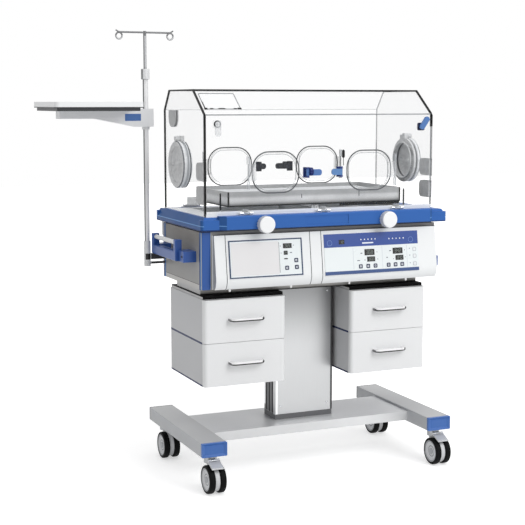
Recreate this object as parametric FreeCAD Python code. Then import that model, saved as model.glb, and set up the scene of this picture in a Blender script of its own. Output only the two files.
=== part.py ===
import FreeCAD, Part
import math
import os

# Infant incubator on a wheeled stand, in millimetres, +Z up, front towards -Y.
# Pieces are built with the column's centre at X = 0, Y = 0 and the floor at Z = 0.
# The last step moves them all so that the origin is at the bottom centre of the bounding box.

V = FreeCAD.Vector
os.makedirs("parts", exist_ok=True)

# Clearances
fit_gap = 0.05
part_gap = 0.4
swing_gap = 1.0

# Casters
wheel_d = 100.0
tyre_w = 22.0
tyre_depth = 10.0
wheel_gap = 18.0
caster_h = 131.0
caster_trail = 32.0
collar_r = 23.0
stem_r = 6.0
stem_rise = 26.0
axle_r = 5.0
front_stem_y = -255.0
back_stem_y = 225.0

# Brake pedals
pedal_w = 44.0
pedal_t = 5.0
pedal_len = 48.0
pedal_pin_r = 2.5
pedal_slope = 23.0
lug_r = 5.0

# Legs and beam
leg_inner_x = 404.0
leg_w = 94.0
leg_h = 49.5
leg_wall = 3.0
leg_front_y = -298.5
leg_back_y = 279.5
front_cap_t = 12.0
back_cap_t = 6.0
beam_y0 = -142.5
beam_y1 = 125.5
beam_h = 34.0
beam_rise = 7.0

# Column
col_half = 116.8
col_y0 = -62.5
col_y1 = 41.0
plinth_h = 20.0
cover_t = 3.0
cover_bend = 10.0
col_wall = 4.0
slot_w = 8.0
slot_depth = 9.0
col_top = 674.0

# Cabinet
pan_inset = 27.0
pan_y0 = -129.0
pan_y1 = 117.0
sheet = 3.0
cab_half = 465.0
cab_y0 = -213.0
cab_y1 = 186.0
cab_z0 = 704.0
cab_z1 = 905.0
neck_inset = 12.0
post_proud = 2.5
post_w = 42.0
post_depth = 24.0
post_round = 12.0

# Fascia on the cabinet's front
fascia_left_inset = 44.0
fascia_right_inset = 3.0
fascia_top = 895.0
fascia_top_y = -222.0
fascia_low_z = 745.0
fascia_low_y = -243.0
fascia_foot_y = -229.0
groove_w = 2.5
groove_depth = 2.5
groove_gap = 10.0
middle_groove_gap = 33.0

# Panels on the fascia: heights are measured up the slope from the fascia's low line
panel_t = 2.0
left_panel_inset = 51.0
panel_gap = 87.5
left_panel_v = (-3.0, 129.5)
right_panel_inset = 78.0
right_panel_w = 385.5
right_panel_v = (-11.0, 136.0)
panel_frame_w = 4.5

# Displays and keys: distance from the panel's right edge, height, then width and height of the window
key_size = 14.0
key_t = 1.0
left_windows = ((53.0, 103.0, 34.0, 17.0), (59.5, 78.5, 15.0, 14.0), (59.0, 57.5, 14.0, 4.0))
left_keys = ((17.0, 55.0), (57.0, 29.5), (16.0, 30.5))
right_windows = ((308.0, 107.0, 19.0, 13.0), (196.5, 65.0, 41.0, 22.0), (80.5, 65.0, 41.0, 22.0),
                 (188.5, 39.5, 33.0, 18.0), (72.5, 39.5, 33.0, 18.0))
right_keys = ((233.0, 17.0), (202.5, 17.0), (172.5, 17.0), (118.0, 17.0), (89.0, 17.0), (61.0, 17.0),
              (13.0, 67.5), (13.0, 39.5), (13.0, 11.0))

# Deck
rim_left_proud = 5.0
rim_right_proud = 44.0
rim_y0 = -232.0
rim_y1 = 264.0
rim_z0 = 910.0
rim_side_z = 927.0
rim_end_z = 947.0
rim_round = 14.0
rim_bevel = 16.0
rim_open_x = 441.0
rim_open_y = 206.0
rim_lip = 10.0
rim_lip_z = 940.0
end_block = 66.0
end_depth = 28.0
bumper_y = -252.0
bumper_top = 960.5
bumper_z0 = 912.0
inset_half = 86.0
deck_z = 956.0
deck_t = 8.0
well_x = 358.0
well_y = 178.0
well_depth = 32.0
well_wall = 3.0
probe_x = -381.0
probe_y = -183.0
probe_r = 3.0
probe_h = 80.0

# Tilt knobs
knob_x = 242.0
knob_z = 929.0
knob_r = 30.0
knob_l = 26.0
knob_shaft_r = 5.0
knob_shaft_end = -184.0

# Side handles
handle_reach = 60.0
handle_t = 24.0
handle_y0 = -115.0
handle_y1 = 150.0
handle_z0 = 797.0
handle_web = 34.0
handle_h = 75.0
handle_end = 22.0
foot_y0 = -165.0
foot_y1 = -93.0
foot_h = 38.0
grip_r = 8.0
grip_drop = 12.0
right_handle_drop = 62.0

# Drawer units
unit_column_gap = 15.0
unit_inset = 19.2
unit_y0 = -188.3
unit_y1 = 167.1
drawer_h = 156.0
hanger_t = 11.6
unit_wall = 4.0
front_t = 20.0
front_round = 14.0
drawer_gap = 1.5
drawer_wall = 3.0
drawer_len = 318.0
drawer_side_h = 110.0
handle_len = 134.0
handle_out = 32.0
pull_r = 6.5
pull_bend = 15.0
pull_rise = 5.0

# Air unit and fan inside the cabinet
motor_r = 40.0
motor_h = 110.0
fan_r = 75.0
fan_h = 26.0
fan_blades = 9
fan_z = 882.0
fan_shaft_r = 4.0
heater_r = 105.0
heater_wire = 5.0
tank_x = (180.0, 360.0)
tank_y = (-150.0, 60.0)
tank_h = 80.0

# Filter box on the cabinet's back
filter_inset = 13.0
filter_y1 = 246.0
filter_z0 = 852.0
filter_z1 = 907.0
filter_round = 10.0

# Hood
hood_half = 450.0
hood_y0 = -213.2
hood_y1 = 213.2
hood_fold_z = 1306.5
hood_back_fold_z = 1322.3
hood_top = 1396.0
hood_top_y0 = -96.3
hood_top_y1 = 155.9
glass = 5.0
rail_h = 9.0
rail_w = 18.0

# Hand ports
port_x = 185.0
port_z = 1107.0
port_w = 178.0
port_h = 143.0
port_round = 50.0
port_lap = 8.0
tab_w = 15.0
tab_h = 16.0
knuckle_r = 5.0
hinge_pin_r = 2.0
port_hinge_x = 290.0
port_hinge_half = 57.0
port_knuckle_half = 30.0

# Port latches: bracket beside the port, thumb lever towards the middle
latch_h = 37.0
latch_bracket_w = 24.0
latch_ear_t = 7.0
latch_pin_out = 13.0
latch_barrel_r = 6.0
latch_lever_h = 24.0
latch_lever_t = 6.0
latch_edge_gap = 18.0
latch_length = {"front_left": 66.0, "front_right": 50.0, "back_left": 48.0, "back_right": 66.0}

# Door latches
door_latch_inset = {"left": 45.0, "right": 51.0}
door_latch_z = {"left": 1276.0, "right": 1262.0}
door_latch_rest = {"left": 180.0, "right": 35.0}
door_latch_block = 28.0
door_latch_len = 42.0
door_latch_w = 20.0
door_latch_t = 8.0

# Front door hinge
door_hinge_y = -224.0
door_hinge_z = 967.5
door_knuckle = 24.0
door_leaf_h = 14.0
door_hinge_x = (-300.0, 0.0, 300.0)

# Hood tilt hinge
hood_hinge_y = 225.0
hood_hinge_z = 962.5
hood_hinge_x = (-340.0, 340.0)

# Iris ports in the end walls
iris_z = 1130.0
iris_r = 84.0
iris_hole_r = 70.0
iris_flange_t = 8.0
iris_neck = 8.0
iris_ring_w = 14.0
iris_sleeve_t = 3.0
iris_eye_r = 12.0

# Tube grommets in the end walls
grommet_y1 = -138.0
grommet_h = 62.5
grommet_z = (999.5, 1081.0)
grommet_round = 18.0
grommet_lip = 6.0
grommet_lip_t = 4.0
slot_y = (76.0, 148.0)
slot_z = (1261.0, 1322.0)
slot_round = 35.0

# Bed
bed_half = 345.0
bed_y = 165.0
bed_z0 = 985.0
bed_h = 53.0
bed_wall = 4.0
mattress_gap = 3.0
mattress_h = 38.0
mattress_round = 14.0
pivot_r = 6.0
pivot_z = 974.0
bracket_w = 26.0
bracket_t = 10.0

# Infusion pole
pole_reach = 70.0
pole_y = 170.0
pole_r = 9.5
pole_bore = 5.8
pole_z0 = 752.0
pole_z1 = 1433.0
sleeve_r = 12.5
sleeve_z0 = 747.0
sleeve_z1 = 840.0
collar_pole_r = 15.0
collar_pole_h = 38.0
rod_r = 5.7
rod_low = 1130.0
rod_top = 1607.0
hook_reach = 97.0
hook_r = 3.5
ring_r = 11.5
ring_wire = 3.0
ring_drop = 1.5
tip_wire = 2.7
tip_rise = 7.2
hook_drop = 5.0
tip_len = 12.0
bar_z = (783.0, 759.0)
bar_h = (22.0, 8.0)
bar_depth = 14.0

# Side shelf
tray_x0 = -912.0
tray_x1 = -592.0
tray_y0 = 4.0
tray_y1 = 336.0
tray_top = 1352.0
tray_rim_h = 21.0
tray_rim_w = 14.0
tray_pan_depth = 11.0
tray_pan_inset = 10.0
tray_round = 16.0
arm_y0 = 140.0
arm_y1 = 200.0
arm_tip_x = -862.0
arm_bend_x = -731.0
arm_tip_z = 1292.0
arm_low_z = 1262.0
clamp_x = -578.0
clamp_end = 21.0
clamp_top = 1327.0
plate_x = (-623.0, -563.0)
plate_z = (1284.0, 1309.0)
plate_t = 1.5
stop_h = 10.0

# Values that follow from the sizes above
wheel_r = wheel_d / 2
leg_top = caster_h + leg_h
leg_mid_x = leg_inner_x + leg_w / 2
beam_z0 = caster_h + beam_rise
beam_top = beam_z0 + beam_h
plinth_top = beam_top + plinth_h
unit_top = col_top - hanger_t
unit_z0 = unit_top - 2 * drawer_h
pan_half = cab_half - pan_inset
unit_x0 = col_half + unit_column_gap
unit_x1 = cab_half - unit_inset
filter_half = cab_half - filter_inset
fascia_x0 = -cab_half + fascia_left_inset
fascia_x1 = cab_half - fascia_right_inset
slope = math.degrees(math.atan2(fascia_top_y - fascia_low_y, fascia_top - fascia_low_z))
right_panel_x = (fascia_x1 - right_panel_inset - right_panel_w, fascia_x1 - right_panel_inset)
left_panel_x = (fascia_x0 + left_panel_inset, right_panel_x[0] - panel_gap)
groove_x = (left_panel_x[0] - groove_gap, left_panel_x[1] + middle_groove_gap, right_panel_x[0] - groove_gap)
rim_x0 = -cab_half - rim_left_proud
rim_x1 = cab_half + rim_right_proud
handle_x = cab_half + handle_reach
pole_x = -cab_half - pole_reach
door_latch_x = {"left": door_latch_inset["left"] - hood_half, "right": hood_half - door_latch_inset["right"]}
rail_top = deck_z + rail_h
bed_top = bed_z0 + bed_h
iris_hood = hood_half + iris_flange_t + iris_neck

pieces = {}


# Shapes shared by the pieces
def box(x0, x1, y0, y1, z0, z1):
    return Part.makeBox(x1 - x0, y1 - y0, z1 - z0, V(x0, y0, z0))


def cylinder(radius, start, end):
    path = end - start
    return Part.makeCylinder(radius, path.Length, start, path)


def rounded(shape, radius, axis):
    def runs_along(edge):
        span = edge.Vertexes[-1].Point - edge.Vertexes[0].Point
        return abs(span.dot(axis)) > 0.99 * span.Length
    edges = [e for e in shape.Edges if len(e.Vertexes) == 2 and runs_along(e)]
    return shape.makeFillet(radius, edges)


def block(x0, x1, y0, y1, z0, z1, radius, axis=V(0, 0, 1)):
    return rounded(box(x0, x1, y0, y1, z0, z1), radius, axis)


def side_prism(points, x0, x1):
    wire = Part.makePolygon([V(x0, y, z) for y, z in points + points[:1]])
    return Part.Face(wire).extrude(V(x1 - x0, 0, 0))


def front_prism(points, y0, y1):
    wire = Part.makePolygon([V(x, y0, z) for x, z in points + points[:1]])
    return Part.Face(wire).extrude(V(0, y1 - y0, 0))


def plan_prism(points, z0, z1):
    wire = Part.makePolygon([V(x, y, z0) for x, y in points + points[:1]])
    return Part.Face(wire).extrude(V(0, 0, z1 - z0))


def joined(*shapes):
    return shapes[0].multiFuse(list(shapes[1:])).removeSplitter()


def mirrored(shape):
    return shape.mirror(V(0, 0, 0), V(1, 0, 0))


def keep(node, *solids):
    pieces.setdefault(node, []).extend(solids)


# Stand
def make_legs():
    for side in (-1, 1):
        x0 = min(side * leg_inner_x, side * (leg_inner_x + leg_w))
        x1 = x0 + leg_w
        y0 = leg_front_y + front_cap_t
        y1 = leg_back_y - back_cap_t
        tube = block(x0, x1, y0, y1, caster_h, leg_top, leg_wall, V(0, 1, 0))
        bore = box(x0 + leg_wall, x1 - leg_wall, y0, y1, caster_h + leg_wall, leg_top - leg_wall)
        tube = tube.cut(bore)
        for stem_y in (front_stem_y, back_stem_y):
            foot = V(side * leg_mid_x, stem_y, caster_h)
            tube = tube.cut(cylinder(stem_r + fit_gap, foot, foot + V(0, 0, leg_wall)))
        keep("side_legs", tube)
        keep("leg_caps", front_cap(x0, x1), back_cap(x0, x1))


def front_cap(x0, x1):
    y0 = leg_front_y
    cap = block(x0, x1, y0, y0 + front_cap_t, caster_h, leg_top, leg_wall, V(0, 1, 0))
    margin = 9.0
    dish_depth = 5.0
    outer = Part.makePolygon([V(x0 + 3, y0, caster_h + 3), V(x1 - 3, y0, caster_h + 3),
                              V(x1 - 3, y0, leg_top - 3), V(x0 + 3, y0, leg_top - 3),
                              V(x0 + 3, y0, caster_h + 3)])
    back = y0 + dish_depth
    inner = Part.makePolygon([V(x0 + margin + 3, back, caster_h + margin), V(x1 - margin - 3, back, caster_h + margin),
                              V(x1 - margin - 3, back, leg_top - margin), V(x0 + margin + 3, back, leg_top - margin),
                              V(x0 + margin + 3, back, caster_h + margin)])
    return cap.cut(Part.makeLoft([outer, inner], True, True))


def back_cap(x0, x1):
    return block(x0, x1, leg_back_y - back_cap_t, leg_back_y, caster_h, leg_top, leg_wall, V(0, 1, 0))


def make_beam():
    shell = box(-leg_inner_x, leg_inner_x, beam_y0, beam_y1, beam_z0, beam_top)
    wall = leg_wall
    core = box(-leg_inner_x, leg_inner_x, beam_y0 + wall, beam_y1 - wall, beam_z0 + wall, beam_top - wall)
    keep("base_beam", shell.cut(core))


def make_column():
    y0 = col_y0 + cover_t
    extrusion = box(-col_half, col_half, y0, col_y1, plinth_top, col_top)
    core = box(-col_half + 2 * slot_depth, col_half - 2 * slot_depth, y0 + col_wall, col_y1 - col_wall,
               plinth_top, col_top)
    extrusion = extrusion.cut(core)
    mid_y = (col_y0 + col_y1) / 2
    for offset in (-24.0, 4.0, 32.0):
        for side in (-1, 1):
            wide = box(side * col_half - slot_depth, side * col_half + slot_depth,
                       mid_y + offset - slot_w / 2, mid_y + offset + slot_w / 2, plinth_top, col_top)
            extrusion = extrusion.cut(wide)
    plinth = box(-col_half, col_half, col_y0, col_y1, beam_top, plinth_top)
    keep("column", extrusion, plinth)
    cover = box(-col_half - cover_t, col_half + cover_t, col_y0, col_y0 + cover_t + cover_bend, plinth_top, col_top)
    cover = rounded_front_edges(cover, cover_t)
    cover = cover.cut(box(-col_half, col_half, y0, col_y1, plinth_top, col_top))
    keep("column_cover", cover)


def rounded_front_edges(shape, radius):
    low = shape.BoundBox.YMin
    edges = [e for e in shape.Edges
             if abs(e.Vertexes[0].Y - low) < 0.01 and abs(e.Vertexes[-1].Y - low) < 0.01
             and abs(e.Vertexes[0].X - e.Vertexes[-1].X) < 0.01]
    return shape.makeFillet(radius, edges)


# Casters
def caster_axle(side, stem_y):
    return V(side * leg_mid_x, stem_y - caster_trail, wheel_r)


def caster_yoke(side, stem_y, with_lug):
    axle = caster_axle(side, stem_y)
    half = wheel_gap / 2 - swing_gap
    disc_r = wheel_r - 6
    disc = cylinder(disc_r, axle - V(half, 0, 0), axle + V(half, 0, 0))
    collar_z0 = wheel_d + 2
    neck = side_prism([(stem_y - collar_r, collar_z0 + 3), (stem_y + collar_r - 2, collar_z0 + 3),
                       (axle.y + disc_r * 0.9, wheel_r + 20), (axle.y - disc_r * 0.6, wheel_r + 30)],
                      axle.x - half, axle.x + half)
    centre = V(axle.x, stem_y, 0)
    collar = cylinder(collar_r, centre + V(0, 0, collar_z0), centre + V(0, 0, caster_h - part_gap))
    stem = cylinder(stem_r, centre + V(0, 0, collar_z0), centre + V(0, 0, caster_h + stem_rise))
    nut = cylinder(stem_r + 5, centre + V(0, 0, caster_h + leg_wall + part_gap),
                   centre + V(0, 0, caster_h + leg_wall + part_gap + 8))
    yoke = joined(disc, neck, collar, stem, nut)
    if with_lug:
        pin = pedal_pin(side, stem_y)
        lug = box(axle.x - half, axle.x + half, pin.y, stem_y, pin.z - lug_r, pin.z + lug_r)
        yoke = joined(yoke, lug, cylinder(lug_r, pin - V(half, 0, 0), pin + V(half, 0, 0)))
        yoke = yoke.cut(cylinder(pedal_pin_r + fit_gap, pin - V(wheel_gap, 0, 0), pin + V(wheel_gap, 0, 0)))
    bore = cylinder(axle_r + fit_gap, axle - V(wheel_gap, 0, 0), axle + V(wheel_gap, 0, 0))
    return yoke.cut(bore)


def caster_wheels(side, stem_y):
    axle = caster_axle(side, stem_y)
    inner = wheel_gap / 2
    outer = inner + tyre_w
    solids = [cylinder(axle_r, axle - V(outer - 2, 0, 0), axle + V(outer - 2, 0, 0))]
    for way in (-1, 1):
        near = axle + V(way * inner, 0, 0)
        far = axle + V(way * outer, 0, 0)
        tyre = cylinder(wheel_r, near, far)
        tyre = tyre.makeFillet(5.0, [e for e in tyre.Edges if e.Curve.TypeId == "Part::GeomCircle"])
        tyre = tyre.cut(cylinder(wheel_r - tyre_depth, near, far))
        hub = cylinder(wheel_r - tyre_depth, near + V(way * 1, 0, 0), far - V(way * 1, 0, 0))
        dish = Part.makeCone(wheel_r - tyre_depth - 5, wheel_r - tyre_depth - 9, 4,
                             far - V(way * 1, 0, 0), V(-way, 0, 0))
        cap = cylinder(11.0, far - V(way * 8, 0, 0), far - V(way * 2, 0, 0))
        hub = joined(hub.cut(dish), cap).cut(solids[0])
        solids += [tyre, hub]
    return solids


def pedal_pin(side, stem_y):
    return V(side * leg_mid_x, stem_y - collar_r - 8, caster_h - 16)


def brake_pedal(side, stem_y):
    pin = pedal_pin(side, stem_y)
    half = pedal_w / 2
    inner = wheel_gap / 2 - swing_gap + part_gap
    root = pin.y - lug_r - 2
    plate = box(pin.x - half, pin.x + half, pin.y - pedal_len, root, pin.z - 2.5, pin.z - 2.5 + pedal_t)
    plate = plate.makeFillet(2.0, [e for e in plate.Edges if abs(e.Vertexes[0].Z - e.Vertexes[-1].Z) < 0.01
                                   and e.BoundBox.ZMin > pin.z])
    solids = [plate]
    for way in (-1, 1):
        x0 = min(pin.x + way * inner, pin.x + way * half)
        x1 = max(pin.x + way * inner, pin.x + way * half)
        cheek = cylinder(5.0, V(x0, pin.y, pin.z), V(x1, pin.y, pin.z))
        arm = box(x0, x1, pin.y - 9, pin.y, pin.z - 2.5, pin.z + 2.5)
        solids += [cheek, arm]
    solids.append(cylinder(pedal_pin_r, pin - V(half, 0, 0), pin + V(half, 0, 0)))
    pedal = joined(*solids)
    pedal.rotate(pin, V(1, 0, 0), pedal_slope)
    return pedal


def make_casters():
    for end, stem_y in (("front", front_stem_y), ("back", back_stem_y)):
        for name, side in (("left", -1), ("right", 1)):
            keep("caster_%s_%s_yoke" % (end, name), caster_yoke(side, stem_y, end == "front"))
            keep("caster_%s_%s_wheels" % (end, name), *caster_wheels(side, stem_y))
            if end == "front":
                keep("brake_pedal_%s" % name, brake_pedal(side, stem_y))


# Cabinet
def make_pan():
    pan = box(-pan_half, pan_half, pan_y0, pan_y1, col_top, cab_z0)
    core = box(-pan_half + sheet, pan_half - sheet, pan_y0 + sheet, pan_y1 - sheet, col_top + sheet, cab_z0)
    keep("chassis_pan", pan.cut(core))
    for side in (-1, 1):
        x0 = min(side * unit_x0, side * unit_x1) + 3
        x1 = max(side * unit_x0, side * unit_x1) - 3
        keep("chassis_pan", box(x0, x1, unit_y0 + front_t + 2, unit_y1 - 2, unit_top, col_top))


def corner_posts():
    front = block(-cab_half - post_proud, -cab_half + post_w - post_proud, cab_y0 - post_proud,
                  cab_y0 + post_depth, cab_z0, cab_z1, post_round)
    back = block(-cab_half - post_proud, -cab_half + post_depth, cab_y1 - post_depth,
                 cab_y1 + post_proud, cab_z0, cab_z1, post_round / 2)
    return [front, back]


def make_cabinet():
    shell = box(-cab_half, cab_half, cab_y0, cab_y1, cab_z0, cab_z1)
    neck = box(-cab_half + neck_inset, cab_half - neck_inset, cab_y0 + neck_inset, cab_y1 - neck_inset, cab_z1, rim_z0)
    core = box(-cab_half + neck_inset + sheet, cab_half - neck_inset - sheet,
               cab_y0 + neck_inset + sheet, cab_y1 - neck_inset - sheet, cab_z1 - 2 * sheet, rim_z0)
    room = box(-cab_half + sheet, cab_half - sheet, cab_y0 + sheet, cab_y1 - sheet, cab_z0 + sheet, cab_z1 - sheet)
    shell = joined(shell, neck).cut(core).cut(room)
    posts = corner_posts()
    for post in posts:
        shell = shell.cut(post)
    keep("cabinet_shell", shell)
    posts = [post.cut(box(-cab_half + sheet, 0, cab_y0 + sheet, cab_y1 - sheet, cab_z0, cab_z1)) for post in posts]
    keep("corner_posts", *posts)
    filter_case = block(-filter_half, filter_half, cab_y1 + post_proud + part_gap, filter_y1, filter_z0, filter_z1,
                        filter_round, V(1, 0, 0))
    keep("filter_box", filter_case)
    keep("filter_box", box(-filter_half + 30, filter_half - 30, cab_y1, cab_y1 + post_proud + part_gap,
                           filter_z0 + 10, filter_z1 - 10))


def fascia_arc():
    # Leaves the slope smoothly at the low line and ends at the fascia's foot
    low = V(0, fascia_low_y, fascia_low_z)
    foot = V(0, fascia_foot_y, cab_z0)
    angle = math.radians(slope)
    inwards = V(0, math.cos(angle), -math.sin(angle))
    span = foot - low
    radius = span.dot(span) / (2 * span.dot(inwards))
    centre = low + inwards * radius
    halfway = (low - centre) + (foot - centre)
    middle = centre + halfway * (radius / halfway.Length)
    return Part.Arc(low, middle, foot).toShape()


def make_fascia():
    edges = [Part.LineSegment(V(0, cab_y0, cab_z0), V(0, cab_y0, fascia_top)).toShape(),
             Part.LineSegment(V(0, cab_y0, fascia_top), V(0, fascia_top_y, fascia_top)).toShape(),
             Part.LineSegment(V(0, fascia_top_y, fascia_top), V(0, fascia_low_y, fascia_low_z)).toShape(),
             fascia_arc(),
             Part.LineSegment(V(0, fascia_foot_y, cab_z0), V(0, cab_y0, cab_z0)).toShape()]
    face = Part.Face(Part.Wire(edges))
    face.translate(V(fascia_x0, 0, 0))
    fascia = face.extrude(V(fascia_x1 - fascia_x0, 0, 0))
    height = fascia_top - fascia_low_z
    for x in groove_x:
        groove = box(x - groove_w / 2, x + groove_w / 2, fascia_low_y - 9, fascia_low_y + groove_depth,
                     fascia_low_z - 30, fascia_low_z + height + 9)
        fascia = fascia.cut(on_slope(groove))
    keep("front_fascia", fascia)


def on_slope(shape):
    # Turns a shape drawn upright at the fascia's low line back into the fascia's slope
    shape.rotate(V(0, fascia_low_y, fascia_low_z), V(1, 0, 0), -slope)
    return shape


def slab(x_span, v_span, y_front, thickness):
    return box(x_span[0], x_span[1], fascia_low_y - y_front, fascia_low_y - y_front + thickness,
               fascia_low_z + v_span[0], fascia_low_z + v_span[1])


def make_panels():
    frame = slab(left_panel_x, left_panel_v, panel_t, panel_t)
    window = slab((left_panel_x[0] + panel_frame_w, left_panel_x[1] - panel_frame_w),
                  (left_panel_v[0] + panel_frame_w, left_panel_v[1] - panel_frame_w), panel_t, panel_t / 2)
    keep("left_panel", on_slope(frame.cut(window)))
    keep("control_panel", on_slope(slab(right_panel_x, right_panel_v, panel_t, panel_t)))


def raised(x, v, width, height, y_base):
    keep("displays_and_keys", on_slope(slab((x - width / 2, x + width / 2), (v - height / 2, v + height / 2),
                                            y_base + key_t, key_t)))


def make_displays():
    for right_edge, face, windows, keys in ((left_panel_x[1], panel_t / 2, left_windows, left_keys),
                                            (right_panel_x[1], panel_t, right_windows, right_keys)):
        for inset, v, width, height in windows:
            raised(right_edge - inset, v, width, height, face)
        for inset, v in keys:
            raised(right_edge - inset, v, key_size, key_size, face)


# Handles on the cabinet's sides
def side_handle():
    x0 = -handle_x
    x1 = x0 + handle_t
    top = handle_z0 + handle_h
    web = box(x0, x1, handle_y0, handle_y1, handle_z0, handle_z0 + handle_web)
    front_end = box(x0, x1, handle_y0, handle_y0 + handle_end, handle_z0, top)
    back_end = box(x0, x1, handle_y1 - handle_end, handle_y1, handle_z0, top)
    foot = box(x0 + handle_t / 2, -cab_half, foot_y0, foot_y1, handle_z0, handle_z0 + foot_h)
    back_foot = box(x0 + handle_t / 2, -cab_half, handle_y1 - 50, handle_y1, handle_z0, handle_z0 + foot_h)
    frame = joined(web, front_end, back_end, foot, back_foot)
    frame = frame.makeFillet(4.0, [e for e in frame.Edges if e.BoundBox.XMax < x0 + 0.1 and e.Length > 20])
    centre = V((x0 + x1) / 2, 0, top - grip_drop)
    grip = cylinder(grip_r, centre + V(0, handle_y0 + handle_end, 0), centre + V(0, handle_y1 - handle_end, 0))
    return frame, grip


def make_side_handles():
    lower = V(0, 0, -right_handle_drop)
    for piece in side_handle():
        keep("side_handles", piece, mirrored(piece).translated(lower))


# Drawer units under the cabinet
def make_drawer_units():
    for name, side in (("left", -1), ("right", 1)):
        x0 = min(side * unit_x0, side * unit_x1)
        x1 = max(side * unit_x0, side * unit_x1)
        case = box(x0, x1, unit_y0 + front_t, unit_y1, unit_z0, unit_top)
        for level in (0, 1):
            z0 = unit_z0 + level * drawer_h
            case = case.cut(box(x0 + unit_wall, x1 - unit_wall, unit_y0, unit_y1 - unit_wall,
                                z0 + unit_wall, z0 + drawer_h - unit_wall))
            row = ("lower", "upper")[level]
            keep("drawer_%s_%s" % (name, row), *drawer(x0, x1, z0))
        keep("drawer_cases", case)


def drawer(x0, x1, z0):
    front_y1 = unit_y0 + front_t - part_gap
    front = rounded_front_edges(box(x0, x1, unit_y0, front_y1, z0 + drawer_gap / 2, z0 + drawer_h - drawer_gap / 2),
                                front_round)
    inset = unit_wall + drawer_gap
    floor_z = z0 + unit_wall + drawer_gap
    tray = box(x0 + inset, x1 - inset, front_y1, front_y1 + drawer_len, floor_z, floor_z + drawer_side_h)
    hollow = box(x0 + inset + drawer_wall, x1 - inset - drawer_wall, front_y1, front_y1 + drawer_len - drawer_wall,
                 floor_z + drawer_wall, floor_z + drawer_side_h)
    return [joined(front, tray.cut(hollow)), bow_handle((x0 + x1) / 2, z0 + drawer_h / 2 + pull_rise)]


def bow_handle(x, z):
    half = handle_len / 2 - pull_r
    y0 = unit_y0
    y1 = unit_y0 - handle_out + pull_r
    bend = pull_bend
    corner = bend * (1 - math.sqrt(0.5))
    runs = [Part.LineSegment(V(x - half, y0, z), V(x - half, y1 + bend, z)),
            Part.Arc(V(x - half, y1 + bend, z), V(x - half + corner, y1 + corner, z), V(x - half + bend, y1, z)),
            Part.LineSegment(V(x - half + bend, y1, z), V(x + half - bend, y1, z)),
            Part.Arc(V(x + half - bend, y1, z), V(x + half - corner, y1 + corner, z), V(x + half, y1 + bend, z)),
            Part.LineSegment(V(x + half, y1 + bend, z), V(x + half, y0, z))]
    path = Part.Wire([run.toShape() for run in runs])
    ring = Part.Wire(Part.makeCircle(pull_r, V(x - half, y0, z), V(0, 1, 0)))
    return path.makePipeShell([ring], True, False)


# Air unit, fan and water tank inside the cabinet
def make_air_unit():
    floor = cab_z0 + sheet
    motor = cylinder(motor_r, V(0, 0, floor), V(0, 0, floor + motor_h))
    motor = joined(motor, cylinder(motor_r + 16, V(0, 0, floor), V(0, 0, floor + 6)))
    motor = motor.cut(cylinder(fan_shaft_r + fit_gap, V(0, 0, floor + 40), V(0, 0, floor + motor_h + 1)))
    keep("air_unit", motor)
    heater = Part.makeTorus(heater_r, heater_wire, V(0, 0, fan_z), V(0, 0, 1))
    legs = [cylinder(heater_wire - 1, V(heater_r * math.cos(a), heater_r * math.sin(a), floor),
                     V(heater_r * math.cos(a), heater_r * math.sin(a), fan_z))
            for a in (math.radians(30), math.radians(150), math.radians(270))]
    keep("air_unit", joined(heater, *legs))
    tank = box(tank_x[0], tank_x[1], tank_y[0], tank_y[1], floor, floor + tank_h)
    hollow = box(tank_x[0] + sheet, tank_x[1] - sheet, tank_y[0] + sheet, tank_y[1] - sheet,
                 floor + sheet, floor + tank_h)
    keep("air_unit", tank.cut(hollow))
    hub = cylinder(20.0, V(0, 0, fan_z - 6), V(0, 0, fan_z + 14))
    shaft = cylinder(fan_shaft_r, V(0, 0, floor + 45), V(0, 0, fan_z + 14))
    plate = cylinder(fan_r, V(0, 0, fan_z - 9), V(0, 0, fan_z - 6))
    blades = []
    for index in range(fan_blades):
        blade = box(18, fan_r - 2, -1.5, 1.5, fan_z - 7, fan_z - 9 + fan_h)
        blade.rotate(V(0, 0, 0), V(0, 0, 1), index * 360.0 / fan_blades)
        blades.append(blade)
    keep("fan_impeller", joined(hub, shaft, plate, *blades))


# Deck
def bumper_outline():
    step = rim_y0 - bumper_y
    left = rim_x0 + end_block
    right = rim_x1 - end_block
    back = -rim_open_y
    return [(left, back), (left, rim_y0), (left + step, bumper_y), (right - step, bumper_y), (right, rim_y0),
            (right, back)]


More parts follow.
